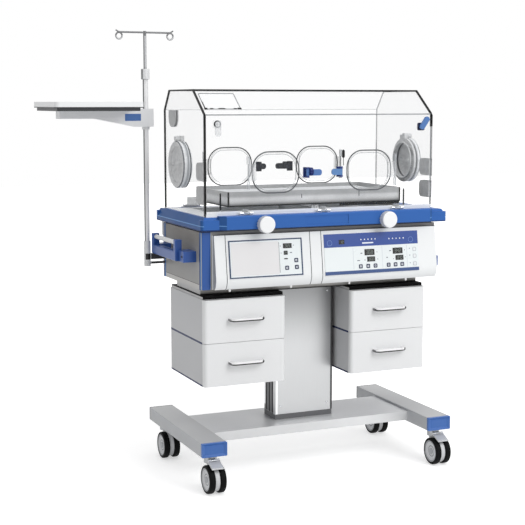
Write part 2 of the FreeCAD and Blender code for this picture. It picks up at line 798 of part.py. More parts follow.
def make_rim():
    low = block(rim_x0, rim_x1, rim_y0, rim_y1, rim_z0, rim_side_z, rim_round)
    foot = [V(rim_x0, rim_y0, rim_side_z), V(rim_x1, rim_y0, rim_side_z),
            V(rim_x1, rim_y1, rim_side_z), V(rim_x0, rim_y1, rim_side_z)]
    bevel_y = rim_y0 + rim_bevel
    head = [V(rim_x0 + rim_bevel, bevel_y, deck_z), V(rim_x1 - rim_bevel, bevel_y, deck_z),
            V(rim_x1 - rim_bevel, rim_y1 - rim_bevel, deck_z), V(rim_x0 + rim_bevel, rim_y1 - rim_bevel, deck_z)]
    slant = Part.makeLoft([Part.makePolygon(foot + foot[:1]), Part.makePolygon(head + head[:1])], True, True)
    slant = slant.common(block(rim_x0, rim_x1, rim_y0, rim_y1, rim_z0, deck_z + 5, rim_round))
    corner_prisms = []
    for x0 in (rim_x0, rim_x1 - end_block):
        corner_prisms.append(box(x0, x0 + end_block, rim_y0, rim_y0 + end_depth, rim_z0, rim_end_z))
        corner_prisms.append(box(x0, x0 + end_block, rim_y1 - end_depth, rim_y1, rim_z0, rim_end_z))
    corners = joined(*corner_prisms).common(block(rim_x0, rim_x1, rim_y0, rim_y1, rim_z0, deck_z, rim_round))
    bumper = plan_prism(bumper_outline(), bumper_z0, bumper_top)
    bumper = bumper.makeFillet(4.0, [e for e in bumper.Edges if e.BoundBox.YMax < bumper_y + 0.1
                                     and e.BoundBox.XLength > 100])
    rim = low.multiFuse([slant, corners, bumper])
    rim = rim.cut(box(-rim_open_x + rim_lip, rim_open_x - rim_lip, -rim_open_y + rim_lip, rim_open_y - rim_lip,
                      rim_z0, bumper_top))
    rim = rim.cut(box(-rim_open_x, rim_open_x, -rim_open_y, rim_open_y, deck_z - deck_t, bumper_top))
    rim = rim.cut(box(-rim_open_x, rim_open_x, -rim_open_y, rim_open_y, rim_z0, rim_lip_z))
    # The bumper stands above the deck only in front of the hood
    rim = rim.cut(box(-hood_half - 1, hood_half + 1, hood_y0 - 1, 0, deck_z, bumper_top))
    rim = rim.cut(box(-inset_half, inset_half, bumper_y, bumper_y + 2, bumper_z0 + 8, bumper_top - 9))
    for x in (-knob_x, knob_x):
        rim = rim.cut(cylinder(knob_shaft_r + fit_gap, V(x, bumper_y - 1, knob_z), V(x, -rim_open_y + rim_lip, knob_z)))
    # A notch for the hood's back hinges
    for x in hood_hinge_x:
        rim = rim.cut(box(x - 45, x + 45, hood_hinge_y - 8, rim_y1 - rim_bevel, deck_z - 3, deck_z))
    keep("deck_rim", rim.removeSplitter())


def make_deck():
    x = rim_open_x - part_gap
    y = rim_open_y - part_gap
    plate = box(-x, x, -y, y, deck_z - deck_t, deck_z)
    well_z = deck_z - well_depth
    wall = well_wall
    cup = box(-well_x - wall, well_x + wall, -well_y - wall, well_y + wall, well_z - wall, deck_z)
    deck = joined(plate, cup).cut(box(-well_x, well_x, -well_y, well_y, well_z, deck_z))
    for hole_x in (-well_x + 40, well_x - 40 - 60):
        deck = deck.cut(box(hole_x, hole_x + 60, -120, 120, well_z - wall, well_z))
    keep("deck_top", deck)
    for y0 in (-bed_y + 12, bed_y - 12 - bracket_t):
        ear = box(-bracket_w / 2, bracket_w / 2, y0, y0 + bracket_t, well_z, pivot_z + pivot_r + 2)
        ear = ear.cut(cylinder(pivot_r + fit_gap, V(0, y0 - 1, pivot_z), V(0, y0 + bracket_t + 1, pivot_z)))
        keep("deck_top", ear)
    keep("deck_top", cylinder(probe_r, V(probe_x, probe_y, deck_z), V(probe_x, probe_y, deck_z + probe_h)))


def make_tilt_knobs():
    for name, x in (("left", -knob_x), ("right", knob_x)):
        y1 = bumper_y - part_gap
        y0 = y1 - knob_l
        knob = cylinder(knob_r, V(x, y1, knob_z), V(x, y0, knob_z))
        knob = knob.makeFillet(5.0, [e for e in knob.Edges if e.BoundBox.YMax < y0 + 0.1])
        for index in range(18):
            angle = index * math.radians(20)
            centre = V(x + (knob_r + 1.5) * math.cos(angle), 0, knob_z + (knob_r + 1.5) * math.sin(angle))
            knob = knob.cut(cylinder(2.8, centre + V(0, y0 + 9, 0), centre + V(0, y1 + 1, 0)))
        shaft = cylinder(knob_shaft_r, V(x, y1 - 5, knob_z), V(x, knob_shaft_end, knob_z))
        keep("tilt_knob_%s" % name, joined(knob, shaft))


# Bed inside the hood
def make_bed():
    tray = block(-bed_half, bed_half, -bed_y, bed_y, bed_z0, bed_top, 10.0)
    inner = block(-bed_half + bed_wall, bed_half - bed_wall, -bed_y + bed_wall, bed_y - bed_wall,
                  bed_z0 + bed_wall, bed_top, 10.0 - bed_wall)
    tray = tray.cut(inner)
    pad_y = bed_y - 12 - bracket_t - part_gap
    saddle = box(-bracket_w / 2, bracket_w / 2, -pad_y, pad_y, pivot_z, bed_z0)
    reach = bed_y - 12 + 6
    shaft = cylinder(pivot_r, V(0, -reach, pivot_z), V(0, reach, pivot_z))
    keep("bed_tray", joined(tray, saddle, shaft))
    gap = bed_wall + mattress_gap
    z0 = bed_z0 + bed_wall + 0.3
    pad = block(-bed_half + gap, bed_half - gap, -bed_y + gap, bed_y - gap, z0, z0 + mattress_h, mattress_round)
    keep("mattress", pad)


# Hood
def hood_profile(inset):
    # Corners of the hood's section, counter-clockwise seen from the right, moved inwards by the inset
    outer = [(hood_y0, deck_z), (hood_y1, deck_z), (hood_y1, hood_back_fold_z), (hood_top_y1, hood_top),
             (hood_top_y0, hood_top), (hood_y0, hood_fold_z)]
    count = len(outer)
    moved = []
    for index in range(count):
        before = outer[index - 1]
        here = outer[index]
        after = outer[(index + 1) % count]
        first = unit_normal(before, here)
        second = unit_normal(here, after)
        scale = inset / (1 + first[0] * second[0] + first[1] * second[1])
        moved.append((here[0] + scale * (first[0] + second[0]), here[1] + scale * (first[1] + second[1])))
    return moved


def unit_normal(start, end):
    dy = end[0] - start[0]
    dz = end[1] - start[1]
    length = math.hypot(dy, dz)
    return (-dz / length, dy / length)


def oval(x, z, width, height, radius, y0, y1):
    return block(x - width / 2, x + width / 2, y0, y1, z - height / 2, z + height / 2, radius, V(0, 1, 0))


def port_hole(x, y0, y1):
    trim = 2 * port_lap
    return oval(x, port_z, port_w - trim, port_h - trim, port_round - port_lap, y0, y1)


def make_hood():
    outer = hood_profile(0)
    inner = hood_profile(glass)
    inside = hood_half - glass
    sheets = []
    for first in (2, 3, 4):
        second = first + 1
        quad = [outer[first], outer[second], inner[second], inner[first]]
        sheets.append(side_prism(quad, -inside, inside))
    back = side_prism([outer[1], outer[2], inner[2], (inner[1][0], deck_z)], -inside, inside)
    for x in (-port_x, port_x):
        back = back.cut(port_hole(x, hood_y1 - 2 * glass, hood_y1 + glass))
    sheets.append(back)
    rail = box(-inside, inside, hood_y0, hood_y0 + rail_w, deck_z, rail_top)
    sheets.append(rail)
    keep("hood_shell", *sheets)
    front_edge = hood_y0 + glass + part_gap
    fold_z = hood_fold_z + (front_edge - hood_y0) * (hood_top - hood_fold_z) / (hood_top_y0 - hood_y0)
    side = [(front_edge, deck_z)] + outer[1:5] + [(front_edge, fold_z)]
    for way in (-1, 1):
        x0 = min(way * inside, way * hood_half)
        wall = side_prism(side, x0, x0 + glass)
        wall = wall.cut(cylinder(iris_hole_r, V(x0 - 1, 0, iris_z), V(x0 + glass + 1, 0, iris_z)))
        for z0 in grommet_z:
            wall = wall.cut(grommet_core(z0, x0 - 1, x0 + glass + 1, 0))
        if way < 0:
            wall = wall.cut(pocket_core(x0 - 1, x0 + glass + 1, 0))
        keep("hood_ends", wall)


def grommet_core(z0, x0, x1, grow):
    front = hood_y0 + glass + part_gap
    back = grommet_y1 - grommet_lip + grow
    low = z0 + grommet_lip - grow
    high = z0 + grommet_h - grommet_lip + grow
    core = box(x0, x1, front, back, low, high)
    edges = [e for e in core.Edges if abs(e.Vertexes[0].Y - back) < 0.01 and abs(e.Vertexes[-1].Y - back) < 0.01
             and abs(e.Vertexes[0].Z - e.Vertexes[-1].Z) < 0.01]
    return core.makeFillet(grommet_round, edges)


def pocket_core(x0, x1, grow):
    low = slot_z[0] + grommet_lip - grow
    core = box(x0, x1, slot_y[0] + grommet_lip - grow, slot_y[1] - grommet_lip + grow, low, slot_z[1])
    edges = [e for e in core.Edges if abs(e.Vertexes[0].Z - low) < 0.01 and abs(e.Vertexes[-1].Z - low) < 0.01
             and abs(e.Vertexes[0].Y - e.Vertexes[-1].Y) < 0.01]
    return core.makeFillet(slot_round - grommet_lip + grow - 1, edges)


def make_grommets():
    for way in (-1, 1):
        x0 = min(way * (hood_half - glass), way * hood_half)
        x1 = x0 + glass
        for z0 in grommet_z:
            keep("tube_grommets", joined(grommet_core(z0, x0, x1, 0),
                                         grommet_core(z0, x0 - grommet_lip_t, x0, grommet_lip),
                                         grommet_core(z0, x1, x1 + grommet_lip_t, grommet_lip)))
    x0 = -hood_half
    x1 = -hood_half + glass
    keep("tube_grommets", joined(pocket_core(x0, x1, 0), pocket_core(x0 - grommet_lip_t, x0, grommet_lip),
                                 pocket_core(x1, x1 + grommet_lip_t, grommet_lip)))


def make_iris_ports():
    for name, way in (("left", -1), ("right", 1)):
        x = way * hood_half
        across = V(way, 0, 0)
        start = V(x, 0, iris_z)
        inner_face = start - across * (glass + 3)
        flange = cylinder(iris_r, start, start + across * iris_flange_t)
        neck = cylinder(iris_r - 6, start + across * iris_flange_t, start + across * (iris_flange_t + iris_neck))
        sleeve = cylinder(iris_hole_r, inner_face, start)
        housing = joined(flange, neck, sleeve)
        bore_r = iris_hole_r - 4
        housing = housing.cut(cylinder(bore_r, inner_face - across * 5, start + across * 60))
        tab_z = iris_z + iris_r
        catch = box(x + min(0, way * 14), x + max(0, way * 14), -9, 9, tab_z - 5, tab_z + 18)
        hinge = box(x + min(0, way * 10), x + max(0, way * 10), 16, 28, tab_z - 5, tab_z + 12)
        keep("iris_housings", joined(housing, catch, hinge))
        base = V(way * (iris_hood + part_gap), 0, iris_z)
        end = base + across * iris_ring_w
        ring = cylinder(iris_r, base, end).cut(cylinder(bore_r, base - across, end + across))
        grip_edges = [e for e in ring.Edges if e.Curve.TypeId == "Part::GeomCircle" and e.Curve.Radius > iris_r - 1]
        ring = ring.makeFillet(3.0, grip_edges)
        middle = base + across * (iris_ring_w / 2)
        skin = cylinder(bore_r, middle, middle + across * iris_sleeve_t)
        skin = skin.cut(cylinder(iris_eye_r, middle - across, middle + across * (iris_sleeve_t + 1)))
        keep("iris_ring_%s" % name, ring, skin)


# Front door, folding down about its bottom edge
def make_front_door():
    x = hood_half
    top = hood_profile(glass)[5][1] - part_gap
    sheet_low = rail_top + part_gap
    panel = box(-x, x, hood_y0, hood_y0 + glass, sheet_low, top)
    for port in (-port_x, port_x):
        panel = panel.cut(port_hole(port, hood_y0 - glass, hood_y0 + 2 * glass))
    keep("front_door", panel)
    for centre in door_hinge_x:
        keep("front_door", door_knuckle_piece(centre))
        for way in (-1, 1):
            keep("hood_hinges", rail_knuckle(centre, way))
    for name, port in (("front_left", -port_x), ("front_right", port_x)):
        keep("front_door", *port_hinge_posts(port, -1))
        keep("front_door", *latch_bracket(name))
    for end in ("left", "right"):
        keep("front_door", door_latch_bracket(end))


def door_knuckle_piece(centre):
    half = door_knuckle / 2
    start = V(centre - half, door_hinge_y, door_hinge_z)
    end = V(centre + half, door_hinge_y, door_hinge_z)
    barrel = cylinder(knuckle_r, start, end)
    leaf = box(centre - half, centre + half, door_hinge_y, hood_y0, door_hinge_z, door_hinge_z + knuckle_r)
    plate = box(centre - half, centre + half, hood_y0 - 3, hood_y0, door_hinge_z, door_hinge_z + door_leaf_h)
    leaf = joined(barrel, leaf, plate)
    return leaf.cut(cylinder(hinge_pin_r + fit_gap, start - V(1, 0, 0), end + V(1, 0, 0)))


def rail_knuckle(centre, way):
    near = centre + way * (door_knuckle / 2 + part_gap)
    far = near + way * door_knuckle / 2
    x0 = min(near, far)
    x1 = max(near, far)
    barrel = cylinder(knuckle_r, V(x0, door_hinge_y, door_hinge_z), V(x1, door_hinge_y, door_hinge_z))
    leaf = box(x0, x1, door_hinge_y, hood_y0, bumper_top + part_gap, rail_top - part_gap)
    pin_end = centre if way > 0 else near
    pin = cylinder(hinge_pin_r, V(min(pin_end, far), door_hinge_y, door_hinge_z),
                   V(max(pin_end, far), door_hinge_y, door_hinge_z))
    return joined(barrel, leaf, pin)


# Hand port doors and their hinges. Faces: -1 is the front door's outside, 1 the back wall's outside
def wall_y(face):
    return hood_y0 if face < 0 else hood_y1


def port_hinge(port, face):
    side = 1 if port > 0 else -1
    return side * port_hinge_x, wall_y(face) + face * (knuckle_r + 3)


def port_hinge_posts(port, face):
    x, y = port_hinge(port, face)
    posts = []
    for way in (-1, 1):
        near = port_z + way * (port_knuckle_half + part_gap)
        far = port_z + way * port_hinge_half
        z0 = min(near, far)
        z1 = max(near, far)
        post = cylinder(knuckle_r, V(x, y, z0), V(x, y, z1))
        pad = box(x - knuckle_r, x + knuckle_r, min(y, wall_y(face)), max(y, wall_y(face)), z0, z1)
        pin = cylinder(hinge_pin_r, V(x, y, min(port_z, far)), V(x, y, max(port_z, far)))
        posts.append(joined(post, pad, pin))
    return [joined(*posts)]


def port_door(port, face):
    side = 1 if port > 0 else -1
    y0 = wall_y(face) + face * part_gap
    y1 = y0 + face * glass
    low_y = min(y0, y1)
    high_y = max(y0, y1)
    plate = oval(port, port_z, port_w, port_h, port_round, low_y, high_y)
    edge = port - side * port_w / 2
    tab = box(min(edge, edge - side * tab_w), max(edge, edge - side * tab_w), low_y, high_y,
              port_z - tab_h / 2, port_z + tab_h / 2)
    plate = joined(plate, tab.fuse(box(min(edge, edge + side * 20), max(edge, edge + side * 20), low_y, high_y,
                                       port_z - tab_h / 2, port_z + tab_h / 2)))
    x, y = port_hinge(port, face)
    half = port_knuckle_half
    barrel = cylinder(knuckle_r, V(x, y, port_z - half), V(x, y, port_z + half))
    root = port + side * (port_w / 2 - 12)
    arm = box(min(root, x), max(root, x), min(y1, y1 + face * 4), max(y1, y1 + face * 4),
              port_z - half, port_z + half)
    leaf = joined(barrel, arm)
    leaf = leaf.cut(cylinder(hinge_pin_r + fit_gap, V(x, y, port_z - half - 1), V(x, y, port_z + half + 1)))
    return [plate, leaf]


def make_port_doors():
    for name, port, face in (("front_left", -port_x, -1), ("front_right", port_x, -1),
                             ("back_left", -port_x, 1), ("back_right", port_x, 1)):
        keep("port_door_%s" % name, *port_door(port, face))
        keep("port_latch_%s" % name, latch_lever(name))
        if face > 0:
            keep("hood_hinges", *port_hinge_posts(port, face))
            keep("hood_hinges", *latch_bracket(name))


def latch_place(name):
    side = -1 if "left" in name else 1
    face = -1 if "front" in name else 1
    edge = side * (port_x - port_w / 2 - latch_edge_gap)
    return side, face, edge, V(edge - side * latch_bracket_w / 2, wall_y(face) + face * latch_pin_out, port_z - 3)


def latch_bracket(name):
    side, face, edge, pin = latch_place(name)
    x0 = min(edge, edge - side * latch_bracket_w)
    x1 = x0 + latch_bracket_w
    wall = wall_y(face)
    half = latch_h / 2
    back = box(x0, x1, min(wall, wall + face * 3), max(wall, wall + face * 3), pin.z - half, pin.z + half)
    solids = [back]
    for way in (-1, 1):
        z0 = min(pin.z + way * half, pin.z + way * (half - latch_ear_t))
        ear = box(pin.x - 7, pin.x + 7, min(wall, pin.y), max(wall, pin.y), z0, z0 + latch_ear_t)
        nose = cylinder(7.0, V(pin.x, pin.y, z0), V(pin.x, pin.y, z0 + latch_ear_t))
        solids += [ear, nose]
    bracket = joined(*solids)
    hole = cylinder(hinge_pin_r + fit_gap, V(pin.x, pin.y, pin.z - half), V(pin.x, pin.y, pin.z + half))
    return [bracket.cut(hole)]


def latch_lever(name):
    side, face, edge, pin = latch_place(name)
    half = latch_h / 2 - latch_ear_t - part_gap
    barrel = cylinder(latch_barrel_r, V(pin.x, pin.y, pin.z - half), V(pin.x, pin.y, pin.z + half))
    tip = edge - side * latch_length[name]
    y0 = pin.y - face * 1
    y1 = y0 + face * latch_lever_t
    tongue = block(min(pin.x, tip), max(pin.x, tip), min(y0, y1), max(y0, y1), pin.z - half, pin.z + half,
                   half * 0.85, V(0, 1, 0))
    root = box(min(pin.x, pin.x - side * 14), max(pin.x, pin.x - side * 14), min(y0, y1), max(y0, y1),
               pin.z - half, pin.z + half)
    pin_half = latch_h / 2
    shaft = cylinder(hinge_pin_r, V(pin.x, pin.y, pin.z - pin_half), V(pin.x, pin.y, pin.z + pin_half))
    return joined(barrel, tongue, root, shaft)


# Latches at the front door's upper corners
def door_latch_bracket(end):
    x = door_latch_x[end]
    z = door_latch_z[end]
    half = door_latch_block / 2
    base = block(x - half, x + half, hood_y0 - 6, hood_y0, z - half, z + half, 5.0, V(0, 1, 0))
    boss = cylinder(9.0, V(x, hood_y0 - 9, z), V(x, hood_y0 - 5, z))
    return joined(base, boss).cut(cylinder(3.0 + fit_gap, V(x, hood_y0 - 10, z), V(x, hood_y0 - 1, z)))


def make_door_latches():
    for end in ("left", "right"):
        x = door_latch_x[end]
        z = door_latch_z[end]
        face = hood_y0 - 9 - part_gap
        half = door_latch_w / 2
        lever = block(x - half, x + half, face - door_latch_t, face, z - half, z + door_latch_len, half * 0.9,
                      V(0, 1, 0))
        lever = joined(lever, cylinder(3.0, V(x, face - 1, z), V(x, hood_y0 - 2, z)))
        lever.rotate(V(x, 0, z), V(0, 1, 0), door_latch_rest[end])
        keep("door_latch_%s" % end, lever)


# Hinges that carry the hood at its lower back edge
def make_hood_hinges():
    for centre in hood_hinge_x:
        start = V(centre - 20, hood_hinge_y, hood_hinge_z)
        end = V(centre + 20, hood_hinge_y, hood_hinge_z)
        barrel = cylinder(knuckle_r, start, end)
        leaf = box(centre - 20, centre + 20, hood_y1, hood_hinge_y, hood_hinge_z, hood_hinge_z + 5)
        plate = box(centre - 20, centre + 20, hood_y1, hood_y1 + 3, hood_hinge_z, hood_hinge_z + 32)
        moving = joined(barrel, leaf, plate).cut(cylinder(hinge_pin_r + fit_gap, start - V(1, 0, 0), end + V(1, 0, 0)))
        keep("hood_hinges", moving)
        fixed = []
        for way in (-1, 1):
            near = centre + way * (20 + part_gap)
            far = near + way * 14
            x0 = min(near, far)
            x1 = max(near, far)
            knuckle = cylinder(knuckle_r, V(x0, hood_hinge_y, hood_hinge_z), V(x1, hood_hinge_y, hood_hinge_z))
            foot = box(x0, x1, hood_hinge_y - knuckle_r, hood_hinge_y + 16, deck_z - 3, hood_hinge_z - 3)
            fixed += [knuckle, foot]
        strap = box(centre - 34.4, centre + 34.4, hood_hinge_y + 8, hood_hinge_y + 16, deck_z - 3, hood_hinge_z - 3)
        pin = cylinder(hinge_pin_r, start - V(14, 0, 0), end + V(14, 0, 0))
        keep("deck_rim", joined(strap, pin, *fixed))


# Infusion pole
def make_pole():
    base = V(pole_x, pole_y, 0)
    tube = cylinder(pole_r, base + V(0, 0, pole_z0), base + V(0, 0, pole_z1))
    keep("pole_tube", tube.cut(cylinder(pole_bore, base + V(0, 0, pole_z0 + 5), base + V(0, 0, pole_z1))))
    sleeve = cylinder(sleeve_r, base + V(0, 0, sleeve_z0), base + V(0, 0, sleeve_z1))
    sleeve = sleeve.cut(cylinder(pole_r, base + V(0, 0, pole_z0), base + V(0, 0, sleeve_z1)))
    keep("pole_fittings", sleeve)
    wall = -cab_half - post_proud
    for z, height in zip(bar_z, bar_h):
        bar = box(pole_x, wall, pole_y - bar_depth / 2, pole_y + bar_depth / 2, z - height / 2, z + height / 2)
        keep("pole_fittings", bar.cut(cylinder(sleeve_r, base + V(0, 0, sleeve_z0), base + V(0, 0, sleeve_z1))))
    collar = cylinder(collar_pole_r, base + V(0, 0, pole_z1), base + V(0, 0, pole_z1 + collar_pole_h))
    collar = collar.makeFillet(2.5, [e for e in collar.Edges if e.Curve.TypeId == "Part::GeomCircle"])
    keep("pole_fittings", collar.cut(cylinder(rod_r + fit_gap, base + V(0, 0, pole_z1),
                                              base + V(0, 0, pole_z1 + collar_pole_h))))
    stop = cylinder(pole_r + 4.5, base + V(0, 0, arm_low_z - part_gap - stop_h), base + V(0, 0, arm_low_z - part_gap))
    keep("pole_fittings", stop.cut(cylinder(pole_r, base, base + V(0, 0, pole_z1))))


def make_rod():
    base = V(pole_x, pole_y, 0)
    rod = cylinder(rod_r, base + V(0, 0, rod_low), base + V(0, 0, rod_top))
    across = V(hook_reach, 0, 0)
    middle = base + V(0, 0, rod_top - hook_drop)
    parts = [rod, cylinder(hook_r, middle - across, middle + across)]
    for way in (-1, 1):
        end = middle + across * way
        parts.append(Part.makeSphere(hook_r + 0.6, end))
        parts.append(Part.makeTorus(ring_r, ring_wire, end - V(0, 0, ring_r + ring_drop), V(0, 1, 0)))
        parts.append(cylinder(tip_wire, end, end + V(way * tip_len, 0, tip_rise)))
    keep("pole_rod", joined(*parts))


# Side shelf on the pole
def make_shelf():
    low = tray_top - tray_rim_h
    plate = block(tray_x0, tray_x1, tray_y0, tray_y1, low, tray_top, tray_round)
    w = tray_rim_w
    recess = block(tray_x0 + w, tray_x1 - w, tray_y0 + w, tray_y1 - w, low - 1, tray_top, tray_round - 6)
    inset = tray_pan_inset
    pan = block(tray_x0 + inset, tray_x1 - inset, tray_y0 + inset, tray_y1 - inset, low - tray_pan_depth, low, 8.0)
    hollow = block(tray_x0 + w, tray_x1 - w, tray_y0 + w, tray_y1 - w, low - tray_pan_depth + 3, low, 5.0)
    keep("shelf_tray", joined(plate.cut(recess), pan.cut(hollow)))
    under = low - tray_pan_depth
    slope_end = clamp_x
    outline = [(arm_tip_x, under), (arm_tip_x, arm_tip_z), (arm_bend_x, arm_tip_z), (slope_end, arm_low_z),
               (pole_x + clamp_end, arm_low_z), (pole_x + clamp_end, clamp_top), (slope_end, clamp_top),
               (slope_end, under)]
    arm = front_prism(outline, arm_y0, arm_y1)
    base = V(pole_x, pole_y, 0)
    arm = arm.cut(cylinder(pole_r + fit_gap, base + V(0, 0, arm_low_z - 1), base + V(0, 0, clamp_top + 1)))
    keep("shelf_arm", arm)
    keep("shelf_arm", box(plate_x[0], plate_x[1], arm_y0 - plate_t, arm_y0, plate_z[0], plate_z[1]))


make_legs()
make_beam()
make_column()
make_casters()
make_pan()
make_cabinet()
make_fascia()
make_panels()
make_displays()
make_side_handles()
make_drawer_units()
make_air_unit()
make_rim()
make_deck()
make_tilt_knobs()
make_bed()
make_hood()
make_grommets()
make_iris_ports()
make_front_door()
make_port_doors()
make_door_latches()
make_hood_hinges()
make_pole()
make_rod()
make_shelf()

# Move every piece so that the bottom centre of the bounding box is at the origin
whole = Part.makeCompound([solid for solids in pieces.values() for solid in solids])
extent = whole.optimalBoundingBox(False)
origin_shift = V(-(extent.XMin + extent.XMax) / 2, -(extent.YMin + extent.YMax) / 2, -extent.ZMin)
for node, solids in pieces.items():
    shape = Part.makeCompound(solids) if len(solids) > 1 else solids[0]
    shape.translate(origin_shift)
    shape.exportStep("parts/%s.step" % node)
print(len(pieces), "nodes, shift", origin_shift, "size", extent.XLength, extent.YLength, extent.ZLength)
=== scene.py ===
import math

import bmesh
import bpy
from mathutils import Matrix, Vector


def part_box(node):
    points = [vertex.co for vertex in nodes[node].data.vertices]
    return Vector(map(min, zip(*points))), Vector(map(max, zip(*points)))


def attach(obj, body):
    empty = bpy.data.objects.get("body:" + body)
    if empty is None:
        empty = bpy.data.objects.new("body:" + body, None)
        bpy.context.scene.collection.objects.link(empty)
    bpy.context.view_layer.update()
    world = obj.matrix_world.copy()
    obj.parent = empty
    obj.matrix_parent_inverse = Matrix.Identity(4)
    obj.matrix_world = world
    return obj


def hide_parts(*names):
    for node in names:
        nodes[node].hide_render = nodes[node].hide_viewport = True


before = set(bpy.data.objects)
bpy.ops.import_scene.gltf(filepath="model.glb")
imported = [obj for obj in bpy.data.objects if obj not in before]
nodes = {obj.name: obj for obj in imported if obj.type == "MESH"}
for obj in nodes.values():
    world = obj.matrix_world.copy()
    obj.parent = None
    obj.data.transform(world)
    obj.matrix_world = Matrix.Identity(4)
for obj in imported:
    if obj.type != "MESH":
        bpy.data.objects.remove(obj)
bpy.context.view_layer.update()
scene = bpy.context.scene

# Places are millimetres from the column's centre and the floor; stand() turns them into the row frame
mm = 0.001
column_low, column_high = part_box("column")
column_front = 62.5
stand_origin = Vector(((column_low.x + column_high.x) / 2, column_low.y + column_front * mm, 0.0))


def stand(x, y, z):
    return stand_origin + Vector((x, y, z)) * mm


# Fascia: a point lies x across, v up the slope from the low line, and out in front of it
fascia_low_y, fascia_low_z = -243.0, 745.0
fascia_rise, fascia_lean = 150.0, 21.0
slope = math.atan2(fascia_lean, fascia_rise)
panel_up = Vector((0, math.sin(slope), math.cos(slope)))
panel_out = Vector((0, -math.cos(slope), math.sin(slope)))


def on_panel(x, v, out):
    return stand(x, fascia_low_y, fascia_low_z) + (panel_up * v + panel_out * out) * mm


# Hood
hood_half = 450.0
hood_front, hood_back = -213.2, 213.2
hood_foot = 956.0
hood_fold_z, hood_back_fold_z, hood_top = 1306.5, 1322.3, 1396.0
hood_top_front, hood_top_back = -96.3, 155.9
glass = 5.0

# Hand ports
port_x, port_z = 185.0, 1107.0
port_w, port_h, port_round = 178.0, 143.0, 61.0
port_lap = 8.0
port_places = ("front_left", "front_right", "back_left", "back_right")

# Iris ports
iris_z = 1130.0
iris_ring_x = 466.4
iris_ring_w = 14.0
iris_r = 84.0
iris_bore_r = 66.0
iris_eye_r = 3.0

# Casters
hub_r = 40.0
axle_cap_r = 11.0


# Colours are written as they look on the object
def srgb(red, green, blue):
    def linear(value):
        share = value / 255
        return share / 12.92 if share <= 0.04045 else ((share + 0.055) / 1.055) ** 2.4
    return (linear(red), linear(green), linear(blue), 1.0)


# Small helpers that place and join shader nodes
def join(tree, value, socket):
    if isinstance(value, bpy.types.NodeSocket):
        tree.links.new(value, socket)
    else:
        socket.default_value = value


def place_node(tree, kind, settings=None, inputs=None):
    made = tree.nodes.new(kind)
    for key, value in (settings or {}).items():
        setattr(made, key, value)
    for key, value in (inputs or {}).items():
        join(tree, value, made.inputs[key])
    return made


def calc(tree, operation, *values):
    made = place_node(tree, "ShaderNodeMath", {"operation": operation}, dict(enumerate(values)))
    return made.outputs[0]


def parts_of(tree, vector):
    return place_node(tree, "ShaderNodeSeparateXYZ", None, {0: vector}).outputs


def mix_number(tree, amount, first, second):
    made = place_node(tree, "ShaderNodeMix", {"data_type": "FLOAT"}, {0: amount, 2: first, 3: second})
    return made.outputs[0]


def mix_colour(tree, amount, first, second, how="MIX"):
    made = place_node(tree, "ShaderNodeMix", {"data_type": "RGBA", "blend_type": how},
                      {0: amount, 6: first, 7: second})
    return made.outputs[2]


def smooth_steps(tree, value, low, high, first=0.0, last=1.0):
    return place_node(tree, "ShaderNodeMapRange", {"interpolation_type": "SMOOTHSTEP"}, {
        "Value": value, "From Min": low, "From Max": high, "To Min": first, "To Max": last}).outputs[0]


def speckle(tree, place, scale, detail=2.0, rough=0.5):
    made = place_node(tree, "ShaderNodeTexNoise", None,
                      {"Vector": place, "Scale": scale, "Detail": detail, "Roughness": rough})
    return made.outputs[0]


def seen_rays(tree):
    rays = place_node(tree, "ShaderNodeLightPath").outputs
    mirrored = calc(tree, "MAXIMUM", rays["Is Glossy Ray"], rays["Is Transmission Ray"])
    return calc(tree, "MAXIMUM", rays["Is Camera Ray"], mirrored)


def clear_tree(holder):
    holder.use_nodes = True
    holder.node_tree.nodes.clear()
    return holder.node_tree


def end_shader(tree, shader, kind="ShaderNodeOutputMaterial"):
    tree.links.new(shader.outputs[0], place_node(tree, kind).inputs[0])


def shader_group(name, inputs, outputs):
    tree = bpy.data.node_groups.new(name, "ShaderNodeTree")
    kinds = {"vector": "NodeSocketVector", "colour": "NodeSocketColor", "number": "NodeSocketFloat"}
    for side, sockets in (("INPUT", inputs), ("OUTPUT", outputs)):
        for kind, labels in sockets:
            for label in labels:
                tree.interface.new_socket(label, in_out=side, socket_type=kinds[kind])
    return tree, tree.nodes.new("NodeGroupInput").outputs, tree.nodes.new("NodeGroupOutput").inputs


# Every surface group takes a place, a colour and some numbers, and gives a colour, a gloss and a height
def surface_group(name, places, numbers):
    return shader_group(name, [("vector", places), ("colour", ["Colour"]), ("number", numbers)],
                        [("colour", ["Colour"]), ("number", ["Roughness", "Height"])])


def end_surface(tree, given, out, pattern, middle, gloss, relief):
    tone = calc(tree, "MULTIPLY_ADD", calc(tree, "SUBTRACT", pattern, middle), given["Shade"], 1.0)
    grey = place_node(tree, "ShaderNodeCombineColor", None, {0: tone, 1: tone, 2: tone}).outputs[0]
    join(tree, mix_colour(tree, 1.0, given["Colour"], grey, "MULTIPLY"), out["Colour"])
    join(tree, gloss, out["Roughness"])
    join(tree, calc(tree, "MULTIPLY", relief, given["Depth"]), out["Height"])
    return tree


def blend_patterns(tree, first, share, second):
    return calc(tree, "ADD", calc(tree, "MULTIPLY", first, share),
                calc(tree, "MULTIPLY", second, 1.0 - share))


# Moulded and painted surfaces: fine orange peel, a slow drift in tone, faint wiped patches in the gloss
def build_moulded():
    tree, given, out = surface_group("moulded_surface", ["Place"],
                                     ["Grain", "Depth", "Shade", "Patch", "Roughness"])
    drift = speckle(tree, given["Place"], given["Patch"], 3.0)
    wiped = speckle(tree, given["Place"], 14.0, 4.0, 0.65)
    peel = speckle(tree, given["Place"], given["Grain"], 2.0)
    gloss = calc(tree, "MULTIPLY_ADD", calc(tree, "SUBTRACT", wiped, 0.5), 0.16, given["Roughness"])
    return end_surface(tree, given, out, drift, 0.5, calc(tree, "MAXIMUM", gloss, 0.04), peel)


